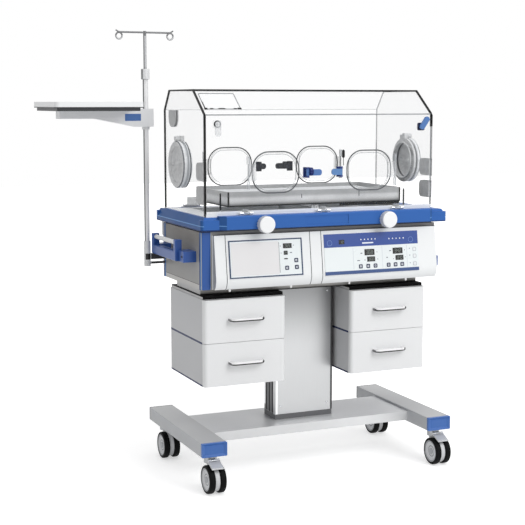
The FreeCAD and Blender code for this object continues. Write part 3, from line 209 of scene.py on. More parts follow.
# Brushed and drawn metal: long fine lines, given a place that is already stretched along them
def build_brushed():
    tree, given, out = surface_group("brushed_surface", ["Place", "Lines"], ["Depth", "Shade", "Roughness"])
    lines = speckle(tree, given["Lines"], 1.0, 5.0, 0.7)
    drift = speckle(tree, given["Place"], 5.0, 2.0)
    gloss = calc(tree, "MULTIPLY_ADD", calc(tree, "SUBTRACT", lines, 0.5), 0.25, given["Roughness"])
    return end_surface(tree, given, out, blend_patterns(tree, lines, 0.7, drift), 0.5,
                       calc(tree, "MAXIMUM", gloss, 0.05), lines)


# Plain weave: two crossed sets of threads, seen from above
def build_woven():
    tree, given, out = surface_group("woven_cover", ["Place"], ["Threads", "Depth", "Shade", "Roughness"])
    across, along = [place_node(tree, "ShaderNodeTexWave", {"wave_type": "BANDS", "bands_direction": way}, {
        "Vector": given["Place"], "Scale": given["Threads"], "Distortion": 0.6}).outputs[1] for way in "XY"]
    weave = calc(tree, "MULTIPLY", across, along)
    stain = speckle(tree, given["Place"], 9.0, 4.0, 0.6)
    return end_surface(tree, given, out, blend_patterns(tree, weave, 0.35, stain), 0.4,
                       calc(tree, "MULTIPLY_ADD", stain, 0.1, given["Roughness"]), weave)


# A mask that is 1 inside a box
def build_box_mask():
    tree, given, out = shader_group("inside_box", [("vector", ["Place", "Low", "High"])],
                                    [("number", ["Mask"])])
    place, low, high = [parts_of(tree, given[label]) for label in ("Place", "Low", "High")]
    mask = 1.0
    for axis in range(3):
        mask = calc(tree, "MULTIPLY", mask, calc(tree, "GREATER_THAN", place[axis], low[axis]))
        mask = calc(tree, "MULTIPLY", mask, calc(tree, "LESS_THAN", place[axis], high[axis]))
    join(tree, mask, out["Mask"])
    return tree


# A mask that is 1 closer to an axis than a radius; Across is 0 along the axis and 1 across it
def build_round_mask():
    tree, given, out = shader_group("inside_round", [("vector", ["Place", "Centre", "Across"]),
                                                     ("number", ["Radius"])], [("number", ["Mask"])])
    vector = "ShaderNodeVectorMath"
    offset = place_node(tree, vector, {"operation": "SUBTRACT"},
                        {0: given["Place"], 1: given["Centre"]}).outputs[0]
    flat = place_node(tree, vector, {"operation": "MULTIPLY"}, {0: offset, 1: given["Across"]}).outputs[0]
    distance = place_node(tree, vector, {"operation": "LENGTH"}, {0: flat}).outputs["Value"]
    join(tree, calc(tree, "LESS_THAN", distance, given["Radius"]), out["Mask"])
    return tree


moulded_surface = build_moulded()
brushed_surface = build_brushed()
woven_cover = build_woven()
box_mask = build_box_mask()
round_mask = build_round_mask()


def use_group(tree, group, **values):
    return place_node(tree, "ShaderNodeGroup", {"node_tree": group}, values).outputs


# Surfaces: what a zone of a piece is made of, its colour first
def lay_surface(group, colour, metal=0.0, alpha=1.0, stretch=None, **numbers):
    def lay(tree, place):
        lines = {}
        if stretch:
            lines["Lines"] = place_node(tree, "ShaderNodeMapping", None,
                                        {"Vector": place, "Scale": stretch}).outputs[0]
        made = use_group(tree, group, Place=place, Colour=srgb(*colour), **lines, **numbers)
        return made["Colour"], made["Roughness"], made["Height"], metal, alpha
    return lay


def moulded(red, green, blue, rough=0.4, grain=900.0, depth=0.5, shade=0.06, metal=0.0, alpha=1.0, patch=3.5):
    return lay_surface(moulded_surface, (red, green, blue), metal, alpha, Grain=grain, Depth=depth,
                       Shade=shade, Patch=patch, Roughness=rough)


def brushed(red, green, blue, stretch, rough=0.32, depth=0.3, shade=0.16, metal=1.0):
    return lay_surface(brushed_surface, (red, green, blue), metal, 1.0, stretch, Depth=depth, Shade=shade,
                       Roughness=rough)


def woven(red, green, blue, threads=420.0, depth=0.6, shade=0.3, rough=0.85):
    return lay_surface(woven_cover, (red, green, blue), Threads=threads, Depth=depth, Shade=shade,
                       Roughness=rough)


# Zones: where on a piece another surface lies
def within(low, high):
    return lambda tree, place: use_group(tree, box_mask, Place=place, Low=low, High=high)["Mask"]


across_x, across_y = (0.0, 1.0, 1.0), (1.0, 0.0, 1.0)


def round_axis(centre, radius, across=across_x):
    return lambda tree, place: use_group(tree, round_mask, Place=place, Centre=centre, Across=across,
                                         Radius=radius)["Mask"]


far = 9000.0


def region(x0=-far, x1=far, y0=-far, y1=far, z0=-far, z1=far):
    return within(tuple(stand(x0, y0, z0)), tuple(stand(x1, y1, z1)))


def fading(axis, start, end):
    # Rises from 0 to 1 between two places along an axis, in stand millimetres
    index = "XYZ".index(axis)
    low, high = (stand(value, value, value)[index] for value in (start, end))
    return lambda tree, place: smooth_steps(tree, parts_of(tree, place)[index], low, high)


def facing(axis, least, way=0):
    # 1 where the face looks along an axis: way is 1 or -1, or 0 for either way
    def mask(tree, place):
        part = parts_of(tree, place_node(tree, "ShaderNodeTexCoord").outputs["Normal"])["XYZ".index(axis)]
        turned = calc(tree, "MULTIPLY", part, float(way)) if way else calc(tree, "ABSOLUTE", part)
        return calc(tree, "GREATER_THAN", turned, least)
    return mask


def both(first, second):
    return lambda tree, place: calc(tree, "MULTIPLY", first(tree, place), second(tree, place))


def unlike(first):
    return lambda tree, place: calc(tree, "SUBTRACT", 1.0, first(tree, place))


# One material: a base surface, then zones of other surfaces over it
def finish(name, base, zones=(), bump=0.00012, coat=0.0, clear=False, gloss=0.5):
    material = bpy.data.materials.new(name)
    tree = clear_tree(material)
    place = place_node(tree, "ShaderNodeTexCoord").outputs["Object"]
    colour, *numbers = base(tree, place)
    for where, surface in zones:
        amount = where(tree, place)
        over_colour, *over = surface(tree, place)
        colour = mix_colour(tree, amount, colour, over_colour)
        numbers = [first if first == second and not isinstance(first, bpy.types.NodeSocket)
                   else mix_number(tree, amount, first, second) for first, second in zip(numbers, over)]
    rough, height, metal, alpha = numbers
    relief = place_node(tree, "ShaderNodeBump", None, {"Strength": 0.6, "Distance": bump, "Height": height})
    if clear:
        # Clear sheet shows itself more at a grazing angle
        rim = place_node(tree, "ShaderNodeLayerWeight", None, {"Blend": 0.35}).outputs["Fresnel"]
        alpha = calc(tree, "MINIMUM", calc(tree, "ADD", alpha, calc(tree, "MULTIPLY", rim, clear)), 1.0)
    shader = place_node(tree, "ShaderNodeBsdfPrincipled", None, {
        "Base Color": colour, "Roughness": rough, "Metallic": metal, "Normal": relief.outputs[0],
        "Coat Weight": coat, "Specular IOR Level": gloss, "Alpha": alpha})
    end_shader(tree, shader)
    return material


# Plain surfaces
white_moulding = moulded(240, 242, 243, rough=0.38, shade=0.03)
white_paint = moulded(236, 237, 238, rough=0.42, grain=1500.0, depth=0.8, shade=0.03)
navy_moulding = moulded(20, 30, 62, rough=0.35)
pan_foot_black = moulded(9, 9, 10, rough=0.6)
dark_rubber = moulded(8, 8, 9, rough=0.6, grain=700.0, depth=1.0, shade=0.2)
soft_grey = moulded(182, 183, 184, rough=0.55, grain=700.0, depth=1.0, shade=0.5, patch=70.0)
mottled_grey = moulded(212, 213, 214, rough=0.5, grain=260.0, depth=1.4, shade=0.6, patch=60.0)
pale_plastic = moulded(214, 216, 218, rough=0.35)
panel_white = moulded(236, 242, 243, rough=0.3, grain=2600.0, depth=0.4, shade=0.02)
panel_blue = moulded(46, 76, 150, rough=0.3, grain=2600.0, depth=0.4)
panel_stripe = moulded(58, 82, 132, rough=0.3, grain=2600.0, depth=0.4)
upright_lines = (900.0, 900.0, 14.0)
level_lines = (14.0, 900.0, 900.0)
depth_lines = (900.0, 14.0, 900.0)
steel_upright = brushed(206, 207, 208, upright_lines, rough=0.3)
steel_level = brushed(214, 215, 216, level_lines, rough=0.25)
drawn_aluminium = brushed(200, 201, 203, upright_lines, rough=0.36)
clear_sheet = moulded(232, 236, 239, rough=0.06, grain=120.0, depth=0.1, shade=0.02, alpha=0.014)
# Painted dark reflection: the edge faces of the clear sheets are painted dark grey and less clear
clear_edge = moulded(70, 76, 80, rough=0.15, grain=120.0, depth=0.2, shade=0.2, alpha=0.6)
edge_dark_reflection = moulded(6, 7, 8, rough=0.3, grain=260.0, depth=0.4, shade=0.4)


# Carried-over CAD pieces get their finish by their material slots
def dress(node, *surfaces, **looks):
    material = finish(node + "_finish", *surfaces, **looks)
    piece = nodes[node]
    if not piece.material_slots:
        piece.data.materials.append(material)
    for slot in piece.material_slots:
        slot.material = material


def dress_stand():
    # Painted shade: the legs' side faces are painted darker than their brushed tops
    leg_side_shade = moulded(184, 186, 189, grain=1500.0, depth=0.8)
    leg_steel = brushed(190, 191, 192, depth_lines, rough=0.42, shade=0.2, metal=0.35)
    beam_steel = brushed(226, 227, 228, level_lines, rough=0.42, shade=0.2, metal=0.35)
    # Painted shade: the beam's steel is painted darker towards its left end
    dress("base_beam", beam_steel, [
        (fading("X", 250.0, -60.0), brushed(214, 215, 216, level_lines, rough=0.42, metal=0.35))])
    dress("side_legs", leg_steel, [(facing("X", 0.6), leg_side_shade)])
    # Painted highlight: the dished face of each front cap is painted a lighter blue
    dish_highlight = both(region(y1=-306.0), facing("Y", 0.8, -1))
    dress("leg_caps", moulded(60, 106, 178, rough=0.36, shade=0.1), [
        (both(dish_highlight, region(y0=-307.6)), moulded(104, 148, 208, rough=0.32)),
        (region(y0=0.0), moulded(30, 32, 38, rough=0.5))], coat=0.15, gloss=0.35)
    # Painted shade: the extrusion's sides are painted dark in their slots, between bright ribs, with a
    # lighter outermost strip
    slot_shade_grey = moulded(70, 70, 72, rough=0.5, metal=0.4)
    sides = unlike(region(x0=-107.8, x1=107.8))
    dress("column", drawn_aluminium, [
        (both(sides, region(z0=193.0)), slot_shade_grey),
        (both(unlike(region(x0=-115.8, x1=115.8)), region(z0=193.0)), moulded(112, 112, 114, rough=0.45)),
        (both(sides, region(y0=30.5, z0=213.0)), steel_upright),
        (both(sides, region(y1=-55.0, z0=213.0)), steel_upright),
        (region(z1=192.1), moulded(98, 99, 101, rough=0.45))])
    # Painted shade: the cover darkens towards the top, under the cabinet; a bright strip near its left edge
    # is a painted highlight, and a dark strip runs down its right edge
    cover = brushed(186, 187, 188, upright_lines, rough=0.36, shade=0.22)
    cover_painted_shade = brushed(136, 137, 138, upright_lines, rough=0.36, shade=0.22)
    dress("column_cover", cover, [
        (fading("Z", 420.0, 690.0), cover_painted_shade), (region(x0=110.5), moulded(64, 64, 66)),
        (region(x0=-114.0, x1=-108.0), brushed(240, 240, 241, upright_lines, rough=0.3))])


def dress_cabinet():
    pan_grey = moulded(196, 195, 192, rough=0.45, grain=1500.0)
    pan_side = moulded(206, 206, 206, rough=0.45, grain=1500.0)
    ends, faces = facing("X", 0.6), facing("Y", 0.6)
    # Painted shade: the pan's front faces fade to black towards the bottom; its lowest strip is black all
    # round
    dress("chassis_pan", pan_side, [
        (faces, pan_grey), (both(faces, fading("Z", 684.0, 674.0)), pan_foot_black),
        (both(region(z1=675.5), unlike(ends)), pan_foot_black),
        (both(region(z0=671.0, z1=675.5), ends), pan_foot_black)], gloss=0.1)
    side_paint = moulded(160, 159, 157, rough=0.5, grain=1500.0, shade=0.1)
    # Painted shade: the cabinet's end faces darken upwards, under the deck rim
    under_rim_shade = moulded(128, 124, 120, rough=0.5, grain=1500.0, shade=0.2, patch=9.0)
    dress("cabinet_shell", side_paint, [
        (both(ends, fading("Z", 800.0, 905.0)), under_rim_shade),
        (both(ends, region(z1=722.0)), moulded(205, 203, 200, rough=0.5)),
        (both(ends, region(z0=720.4, z1=722.6)), moulded(96, 94, 92, rough=0.5)),
        (both(region(x0=-425.0, x1=-415.0, y1=-200.0, z1=893.0), facing("Y", 0.5)), white_moulding),
        (region(z0=905.0), moulded(190, 191, 192, rough=0.5))], gloss=0.3)
    # Painted highlight and painted shade: the posts' rounded sides are painted lighter, and the faces turned
    # furthest sideways darker
    post_highlight = moulded(84, 134, 196, rough=0.36)
    post_shade = moulded(34, 60, 108)
    dress("corner_posts", moulded(44, 86, 156, rough=0.36, shade=0.1), [
        (facing("X", 0.55), post_highlight), (facing("X", 0.93), post_shade)], coat=0.1, gloss=0.3)
    groove = moulded(112, 114, 118, rough=0.5)
    lines = [(region(x0=x - 1.4, x1=x + 1.4), groove) for x in (-380.0, -56.0, -11.5)]
    # Painted shade on the fascia's side faces, and a painted shadow on its top face under the rim; the
    # grooves are its joints
    dress("front_fascia", white_moulding, lines + [
        (facing("X", 0.7), moulded(168, 170, 173, rough=0.45)),
        (region(z0=892.8), moulded(40, 42, 48, rough=0.5))], gloss=0.35)
    # Painted light: the filter box's ends are painted lighter than its front, as lit
    dress("filter_box", pale_plastic, [(facing("X", 0.7), moulded(228, 228, 226))])
    grip = moulded(236, 237, 238, rough=0.45)
    dress("side_handles", moulded(46, 84, 154, shade=0.1), [
        (region(x1=0.0, y0=-92.9, y1=127.9, z0=850.0), grip),
        (region(x0=0.0, y0=-92.9, y1=127.9, z0=788.0), grip)], coat=0.1, gloss=0.3)
    # Painted shade on the rim's end faces, with a painted highlight along the edge above them; the rim is
    # darker along its foot
    rim_side_shade = moulded(50, 92, 152, shade=0.1)
    rim_edge_highlight = moulded(110, 158, 214, rough=0.36)
    dress("deck_rim", moulded(58, 104, 176, rough=0.38, shade=0.1), [
        (facing("X", 0.5), rim_side_shade), (both(facing("X", 0.3), region(z0=925.5, z1=928.5)), rim_edge_highlight),
        (region(z1=914.0), moulded(38, 62, 112)),
        (region(y0=217.0, z0=955.5), steel_level)], gloss=0.1)
    deck_pale = moulded(232, 234, 236)
    deck_dark = moulded(14, 14, 16, rough=0.5)
    probe = {"x0": -386.0, "x1": -376.0, "y0": -188.0, "y1": -178.0}
    dress("deck_top", deck_pale, [
        (region(x0=361.2, z0=948.0), deck_dark), (region(z0=957.0, **probe), deck_dark),
        (region(z0=968.0, z1=976.0, **probe), deck_pale)], gloss=0.05)
    dress("air_unit", drawn_aluminium)
    dress("fan_impeller", soft_grey)


def dress_pole():
    # Painted reflections: the polished tube, rod and collar are painted bright where they face forward and
    # dark on their sides
    tube_dark_reflection = moulded(92, 93, 95, rough=0.35)
    tube_bright_reflection = moulded(238, 238, 239, rough=0.2, grain=300.0)
    rod_dark_reflection = moulded(120, 121, 123, rough=0.3, grain=300.0)
    dress("pole_tube", tube_bright_reflection, [(unlike(facing("Y", 0.62)), tube_dark_reflection)])
    dress("pole_rod", rod_dark_reflection, [
        (both(region(z1=1590.0), facing("Y", 0.8)), moulded(196, 197, 199, rough=0.25))])
    dress("pole_fittings", moulded(226, 227, 228, rough=0.35), [
        (both(region(z0=1395.0), unlike(facing("Y", 0.6))), moulded(120, 121, 123)),
        (both(region(x0=-522.0, z1=795.0), unlike(facing("Z", 0.7))), moulded(38, 39, 42, rough=0.5)),
        (region(y1=162.0, z1=794.5, z0=771.5), dark_rubber)])


def dress_shelf():
    # Painted shade: the tray's underside is greyer, and a dark painted shadow runs round the foot of its rim
    under_tray_shadow = moulded(36, 38, 42, rough=0.45)
    dress("shelf_tray", moulded(244, 245, 246, rough=0.35), [
        (region(z1=1332.6), moulded(228, 229, 231)),
        (both(region(z1=1334.2), unlike(facing("Z", 0.7))), under_tray_shadow)])
    dress("shelf_arm", moulded(226, 227, 229), [(region(y1=139.9), moulded(53, 98, 160))])


def dress_drawers():
    seam = 3.6
    seam_blue = moulded(24, 38, 84)
    lines = [(region(y0=-168.0, z0=z - seam, z1=z + seam), seam_blue) for z in (353.0, 506.4)]
    case_side = moulded(205, 206, 208, rough=0.42, grain=1500.0)
    dress("drawer_cases", case_side, lines, gloss=0.1)
    # Painted reflections: the chrome pulls are painted white, with black on their undersides and right ends
    # and grey on their left ends
    pull_bright_reflection = moulded(240, 240, 241, rough=0.22, grain=300.0, depth=0.1)
    pull_dark_reflection = moulded(16, 16, 17, rough=0.3)
    pull_grey_reflection = moulded(120, 121, 123, rough=0.3)
    pull = region(y1=-188.5)
    for side, middle in (("left", -288.8), ("right", 288.8)):
        for row in ("lower", "upper"):
            dress("drawer_%s_%s" % (side, row), white_paint, [
                (pull, pull_bright_reflection), (both(pull, facing("Z", 0.12, -1)), pull_dark_reflection),
                (both(pull, both(region(x0=middle + 50.0), facing("X", 0.35, 1))), pull_dark_reflection),
                (both(pull, both(region(x1=middle - 50.0), facing("X", 0.8, -1))), pull_grey_reflection)], gloss=0.4)


def dress_casters():
    pale = moulded(226, 227, 229, rough=0.35)
    rings = ((hub_r, moulded(176, 178, 181)), (0.86 * hub_r, pale),
             (0.52 * hub_r, moulded(150, 152, 155)), (0.45 * hub_r, pale),
             (axle_cap_r, moulded(190, 192, 195)))
    for end in ("front", "back"):
        for side in ("left", "right"):
            name = "caster_%s_%s" % (end, side)
            low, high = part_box(name + "_wheels")
            centre = tuple((low + high) / 2)
            dress(name + "_wheels", dark_rubber, [
                (round_axis(centre, radius * mm), surface) for radius, surface in rings], gloss=0.1)
            dress(name + "_yoke", moulded(214, 215, 217), [
                (region(z0=101.0), moulded(168, 170, 173, rough=0.3, metal=0.7))])
    pedal_steel = brushed(196, 197, 199, level_lines, rough=0.5, metal=0.5)
    for side in ("left", "right"):
        dress("brake_pedal_" + side, pedal_steel)


def dress_hood():
    hardware = moulded(196, 200, 204, rough=0.3, alpha=0.5)
    clear_hardware = moulded(226, 229, 232, rough=0.25, alpha=0.3)
    back_latch = moulded(12, 14, 26)
    # The door's fittings lie in front of its sheet
    proud = hood_front - 0.1
    boss = tuple(stand(-hood_half + 45.0, hood_front, 1276.0))
    boss_place = region(x1=0.0, y1=proud, z0=1240.0)
    boss_ring = both(round_axis(boss, 0.013, across_y), unlike(round_axis(boss, 0.0085, across_y)))
    # The clear sheets' edge faces carry a painted dark reflection
    dress("front_door", clear_sheet, [
        (unlike(facing("Y", 0.5)), clear_edge), (region(y1=proud), hardware),
        (region(x0=-80.0, x1=80.0, y1=proud, z0=1080.0, z1=1130.0), moulded(36, 56, 120, rough=0.35)),
        (region(y0=proud, z1=975.0), moulded(246, 247, 248, rough=0.3, alpha=0.85)),
        (region(y1=proud, z1=986.0), clear_hardware), (boss_place, clear_hardware),
        (both(boss_place, boss_ring), moulded(26, 28, 32)),
        (region(x0=300.0, y1=proud, z0=1230.0), navy_moulding)], clear=0.12)
    dress("hood_shell", clear_sheet, [
        (both(facing("X", 0.6), region(y1=0.0)), clear_edge),
        (both(region(y0=hood_back - 6.0, z1=1200.0), unlike(facing("Y", 0.5))), clear_edge),
        (region(y1=hood_front + 19.0, z1=966.0), moulded(246, 247, 248, rough=0.3, alpha=0.95))],
        clear=0.05, gloss=0.3)
    end_sheet = moulded(240, 242, 244, rough=0.06, grain=120.0, depth=0.1, shade=0.02, alpha=0.05)
    dress("hood_ends", end_sheet, [(unlike(facing("X", 0.5)), clear_edge)], clear=0.06)
    dress("hood_hinges", steel_level, [
        (region(y0=hood_back - 1.0, z1=1000.0), moulded(236, 238, 240, rough=0.3, alpha=0.6)),
        (region(y0=hood_back - 1.0, z0=1000.0), hardware),
        (region(x0=-120.0, x1=120.0, y0=hood_back - 1.0, z0=1040.0, z1=1180.0), back_latch)], gloss=0.1)
    hole = round_axis(tuple(stand(0, 0, iris_z)), (iris_r - 2.2) * mm)
    ring_top = iris_z + iris_r - 3.0
    dress("iris_housings", moulded(206, 209, 212, rough=0.35), [
        (both(unlike(hole), region(x0=-454.5, z1=ring_top)), moulded(60, 64, 70)),
        (region(x0=0.0, z1=ring_top), mottled_grey),
        (region(x0=458.2, z1=ring_top), moulded(84, 86, 90)),
        (region(z0=ring_top), mottled_grey)])
    dress("tube_grommets", soft_grey, [
        (region(y0=84.0, y1=140.0, z0=1255.0), moulded(186, 187, 188, rough=0.5))])
    for place in port_places:
        front = "front" in place
        hinge = region(y1=hood_front - glass - 0.5) if front else region(y0=hood_back + glass + 0.5)
        dress("port_door_" + place, clear_sheet, [(hinge, clear_hardware)], clear=0.12)
    dress("port_latch_front_left", moulded(72, 112, 172, rough=0.35))
    dress("port_latch_front_right", moulded(86, 128, 182, rough=0.35))
    for side in ("left", "right"):
        dress("port_latch_back_" + side, back_latch, gloss=0.1)
        # Painted shade: each tilt knob's sides are painted greyer than its face
        dress("tilt_knob_" + side, moulded(244, 245, 246, rough=0.35), [
            (unlike(facing("Y", 0.6)), moulded(196, 198, 204))])
        dress("iris_ring_" + side, mottled_grey)
    dress("door_latch_left", moulded(216, 219, 222, rough=0.3, alpha=0.34))
    dress("door_latch_right", moulded(70, 112, 172, rough=0.35))
    # Painted shade: the tray's walls darken towards its foot
    tray_side = moulded(224, 225, 226, rough=0.3, grain=260.0, shade=0.35, patch=24.0, alpha=0.94)
    tray_foot_shade = moulded(138, 139, 140, rough=0.35, grain=260.0, shade=0.4, patch=30.0)
    tray_lip = moulded(172, 173, 174, rough=0.35, grain=260.0, shade=0.4, patch=24.0)
    upright = unlike(facing("Z", 0.7))
    dress("bed_tray", tray_side, [
        (both(fading("Z", 1012.0, 1024.0), upright), tray_lip),
        (both(fading("Z", 1010.0, 986.0), upright), tray_foot_shade),
        (both(fading("Z", 998.0, 987.0), upright), moulded(84, 85, 87)),
        (region(z1=984.0), steel_level)], clear=0.05)


def dress_panels():
    top_band, foot_band = 88.0, 1.5
    rise = math.cos(slope)
    dress("control_panel", panel_white, [
        (region(z0=fascia_low_z + top_band * rise), panel_blue),
        (region(z1=fascia_low_z + foot_band * rise), panel_stripe)])
    frame_low, frame_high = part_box("left_panel")
    band = 0.0045
    inside = within((frame_low.x + band, -far, frame_low.z + band),
                    (frame_high.x - band, far, frame_high.z - band))
    dress("left_panel", panel_white, [(unlike(inside), moulded(38, 58, 92, rough=0.35))])


# Mesh pieces
to_x, to_y = Vector((1, 0, 0)), Vector((0, 1, 0))


def take_mesh(name, bm, sharp=None):
    mesh = bpy.data.meshes.new(name)
    bm.to_mesh(mesh)
    bm.free()
    if sharp:
        mesh.shade_smooth()
        mesh.set_sharp_from_angle(angle=math.radians(sharp))
    return mesh


def link_piece(name, data):
    piece = bpy.data.objects.new(name, data)
    scene.collection.objects.link(piece)
    return piece


def seat(piece, body):
    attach(piece, body)
    return piece


def add_piece(name, bm, material, body, sharp=35.0):
    bmesh.ops.recalc_face_normals(bm, faces=bm.faces)
    piece = link_piece(name, take_mesh(name, bm, sharp))
    piece.data.materials.append(material)
    return seat(piece, body)


# A piece in one finish of its own
def add_plain(name, bm, surface, body, slot, **looks):
    return add_piece(name, bm, finish(name + "_finish", surface, **looks), body)


def rounded_outline(width, height, radius, steps=6):
    points = []
    for index, (side_u, side_v) in enumerate(((1, 1), (-1, 1), (-1, -1), (1, -1))):
        for step in range(steps + 1):
            angle = math.radians(90) * (index + step / steps)
            points.append((side_u * (width / 2 - radius) + radius * math.cos(angle),
                           side_v * (height / 2 - radius) + radius * math.sin(angle)))
    return points


def turns(count):
    return [2 * math.pi * step / count for step in range(count)]


def add_loops(bm, loops, close_ends=True):
    rows = [[bm.verts.new(point) for point in loop] for loop in loops]
    count = len(rows[0])
    for low, high in zip(rows, rows[1:]):
        for index in range(count):
            after = (index + 1) % count
            bm.faces.new((low[index], low[after], high[after], high[index]))
    if close_ends:
        bm.faces.new(rows[0][::-1])
        bm.faces.new(rows[-1])


# Loops whose last one meets the first
def add_ring(bm, rows, gap=1e-6):
    add_loops(bm, rows + rows[:1], close_ends=False)
    bmesh.ops.remove_doubles(bm, verts=bm.verts, dist=gap)


# A round post: profile gives the height and the radius of each loop
def add_post(bm, x, y, profile, sides=12):
    add_loops(bm, [[stand(x + radius * math.cos(angle), y + radius * math.sin(angle), z)
                    for angle in turns(sides)] for z, radius in profile])


# A loop round an axis along X: reach gives the radius at an angle
def loop_round_x(x, y, z, sides, reach):
    return [stand(x, y + reach(angle) * math.cos(angle), z + reach(angle) * math.sin(angle))
            for angle in turns(sides)]


# A flat plate with a small bevel: place turns (u, v, out) into a point
def add_plate(bm, place, u, v, width, height, radius, out, thick, bevel=0.25):
    outline = rounded_outline(width, height, radius)
    bevel = min(bevel, thick * 0.6)

    def loop(shrink, level):
        share_u = 1 - 2 * shrink / width
        share_v = 1 - 2 * shrink / height
        return [place(u + a * share_u, v + b * share_v, level) for a, b in outline]
    add_loops(bm, [loop(0, out), loop(0, out + thick - bevel), loop(bevel, out + thick)])


# A flat frame between two outlines
def add_frame(bm, place, u, v, width, height, radius, band, out, thick):
    outer = rounded_outline(width, height, radius)
    inner = rounded_outline(width - 2 * band, height - 2 * band, max(radius - band, 0.2))
    rows = ((outer, out), (outer, out + thick), (inner, out + thick), (inner, out))
    add_ring(bm, [[place(u + a, v + b, level) for a, b in line] for line, level in rows], 1e-7)


# A bar that runs between two points; its width and depth are millimetres
def add_bar(bm, start, end, across, width, depth):
    out = (end - start).normalized().cross(across)
    corners = [across * (width * mm / 2) * a + out * (depth * mm / 2) * b
               for a, b in ((1, 1), (-1, 1), (-1, -1), (1, -1))]
    add_loops(bm, [[point + corner for corner in corners] for point in (start, end)])


# Geometry Nodes trees: one lays a round bead along a path, the other sets copies of a small part on points
def geometry_tree(name, inputs):
    tree = bpy.data.node_groups.new(name, "GeometryNodeTree")
    for label, kind in [("Geometry", "Geometry")] + inputs + [("Finish", "Material")]:
        tree.interface.new_socket(label, in_out="INPUT", socket_type="NodeSocket" + kind)
    tree.interface.new_socket("Geometry", in_out="OUTPUT", socket_type="NodeSocketGeometry")
    return tree, tree.nodes.new("NodeGroupInput").outputs, tree.nodes.new("NodeGroupOutput").inputs


def end_tree(tree, given, out, geometry):
    whole = place_node(tree, "GeometryNodeRealizeInstances", None, {0: geometry}).outputs[0]
    done = place_node(tree, "GeometryNodeSetMaterial", None, {"Geometry": whole, "Material": given["Finish"]})
    join(tree, done.outputs[0], out[0])
    return tree


def build_bead():
    tree, given, out = geometry_tree("bead_along_path", [("Radius", "Float"), ("Sides", "Int")])
    path = place_node(tree, "GeometryNodeMeshToCurve", None, {0: given["Geometry"]}).outputs[0]
    section = place_node(tree, "GeometryNodeCurvePrimitiveCircle", None,
                         {"Resolution": given["Sides"], "Radius": given["Radius"]}).outputs[0]
    tube = place_node(tree, "GeometryNodeCurveToMesh", None,
                      {"Curve": path, "Profile Curve": section, "Fill Caps": True}).outputs[0]
    smooth = place_node(tree, "GeometryNodeSetShadeSmooth", None, {0: tube}).outputs[0]
    return end_tree(tree, given, out, smooth)


def build_copies():
    tree, given, out = geometry_tree("copies_on_points", [("Part", "Object"), ("Turn", "Rotation"),
                                                          ("Size", "Float")])
    part = place_node(tree, "GeometryNodeObjectInfo", None, {"Object": given["Part"]}).outputs["Geometry"]
    copies = place_node(tree, "GeometryNodeInstanceOnPoints", None, {
        "Points": given["Geometry"], "Instance": part, "Rotation": given["Turn"], "Scale": given["Size"]})
    return end_tree(tree, given, out, copies.outputs[0])


bead_tree = build_bead()
copies_tree = build_copies()


def shaped(piece):
    bpy.context.view_layer.update()
    graph = bpy.context.evaluated_depsgraph_get()
    return bpy.data.meshes.new_from_object(piece.evaluated_get(graph))


def apply_modifiers(piece):
    made = shaped(piece)
    piece.modifiers.clear()
    piece.data = made


def run_tree(name, bm, tree, body, slot, **values):
    base = link_piece(name + "_base", take_mesh(name + "_base", bm))
    modifier = base.modifiers.new("maker", "NODES")
    modifier.node_group = tree
    for item in tree.interface.items_tree:
        if item.in_out == "INPUT" and item.name in values:
            modifier[item.identifier] = values[item.name]
    made = shaped(base)
    made.name = name
    base.modifiers.remove(modifier)
    bpy.data.objects.remove(base)
    return seat(link_piece(name, made), body)


def bead(name, paths, radius, material, body, slot):
    bm = bmesh.new()
    for path in paths:
        verts = [bm.verts.new(point) for point in path]
        for first, second in zip(verts, verts[1:] + verts[:1]):
            bm.edges.new((first, second))
    return run_tree(name, bm, bead_tree, body, slot, Radius=radius * mm, Sides=8, Finish=material)


# A pan-head screw with a six-sided socket, 10 mm across, looking along -Y
def make_screw():
    def ring(radius, y):
        return [Vector((radius * math.cos(angle), y, radius * math.sin(angle))) * mm for angle in turns(18)]

    def socket(radius, y):
        points = []
        for angle in turns(18):
            nearest = (angle % math.radians(60)) - math.radians(30)
            reach = radius * math.cos(math.radians(30)) / math.cos(nearest)
            points.append(Vector((reach * math.cos(angle), y, reach * math.sin(angle))) * mm)
        return points
    bm = bmesh.new()
    add_loops(bm, [ring(5.0, 0.4), ring(5.0, -1.0), ring(4.2, -2.2), ring(3.0, -2.7), socket(2.6, -2.7),
                   socket(2.4, -0.9)])
    bmesh.ops.recalc_face_normals(bm, faces=bm.faces)
    return bpy.data.objects.new("screw_head_part", take_mesh("screw_head_mesh", bm, 30.0))


screw_part = make_screw()


def screws(name, points, turn, material, size):
    bm = bmesh.new()
    for point in points:
        bm.verts.new(stand(*point))
    run_tree(name, bm, copies_tree, "base", "steel", Part=screw_part, Turn=(0.0, 0.0, math.radians(turn)),
             Size=size, Finish=material)


# Hood: dark lines along its edges and folds, painted as the dark reflection the clear sheet shows there,
# seals round the ports and the plate on the front slope
edge_w, fold_w, back_edge_w, door_edge_w = 6.0, 4.0, 3.0, 5.6
corner_stop = 1262.0
door_edge_foot = 966.0


def add_edge(bm, x, start, end, width):
    add_bar(bm, stand(x, *start), stand(x, *end), to_x, width, width)


def add_line(bm, half, y, z, width, depth):
    add_bar(bm, stand(-half, y, z), stand(half, y, z), to_y, width, depth)


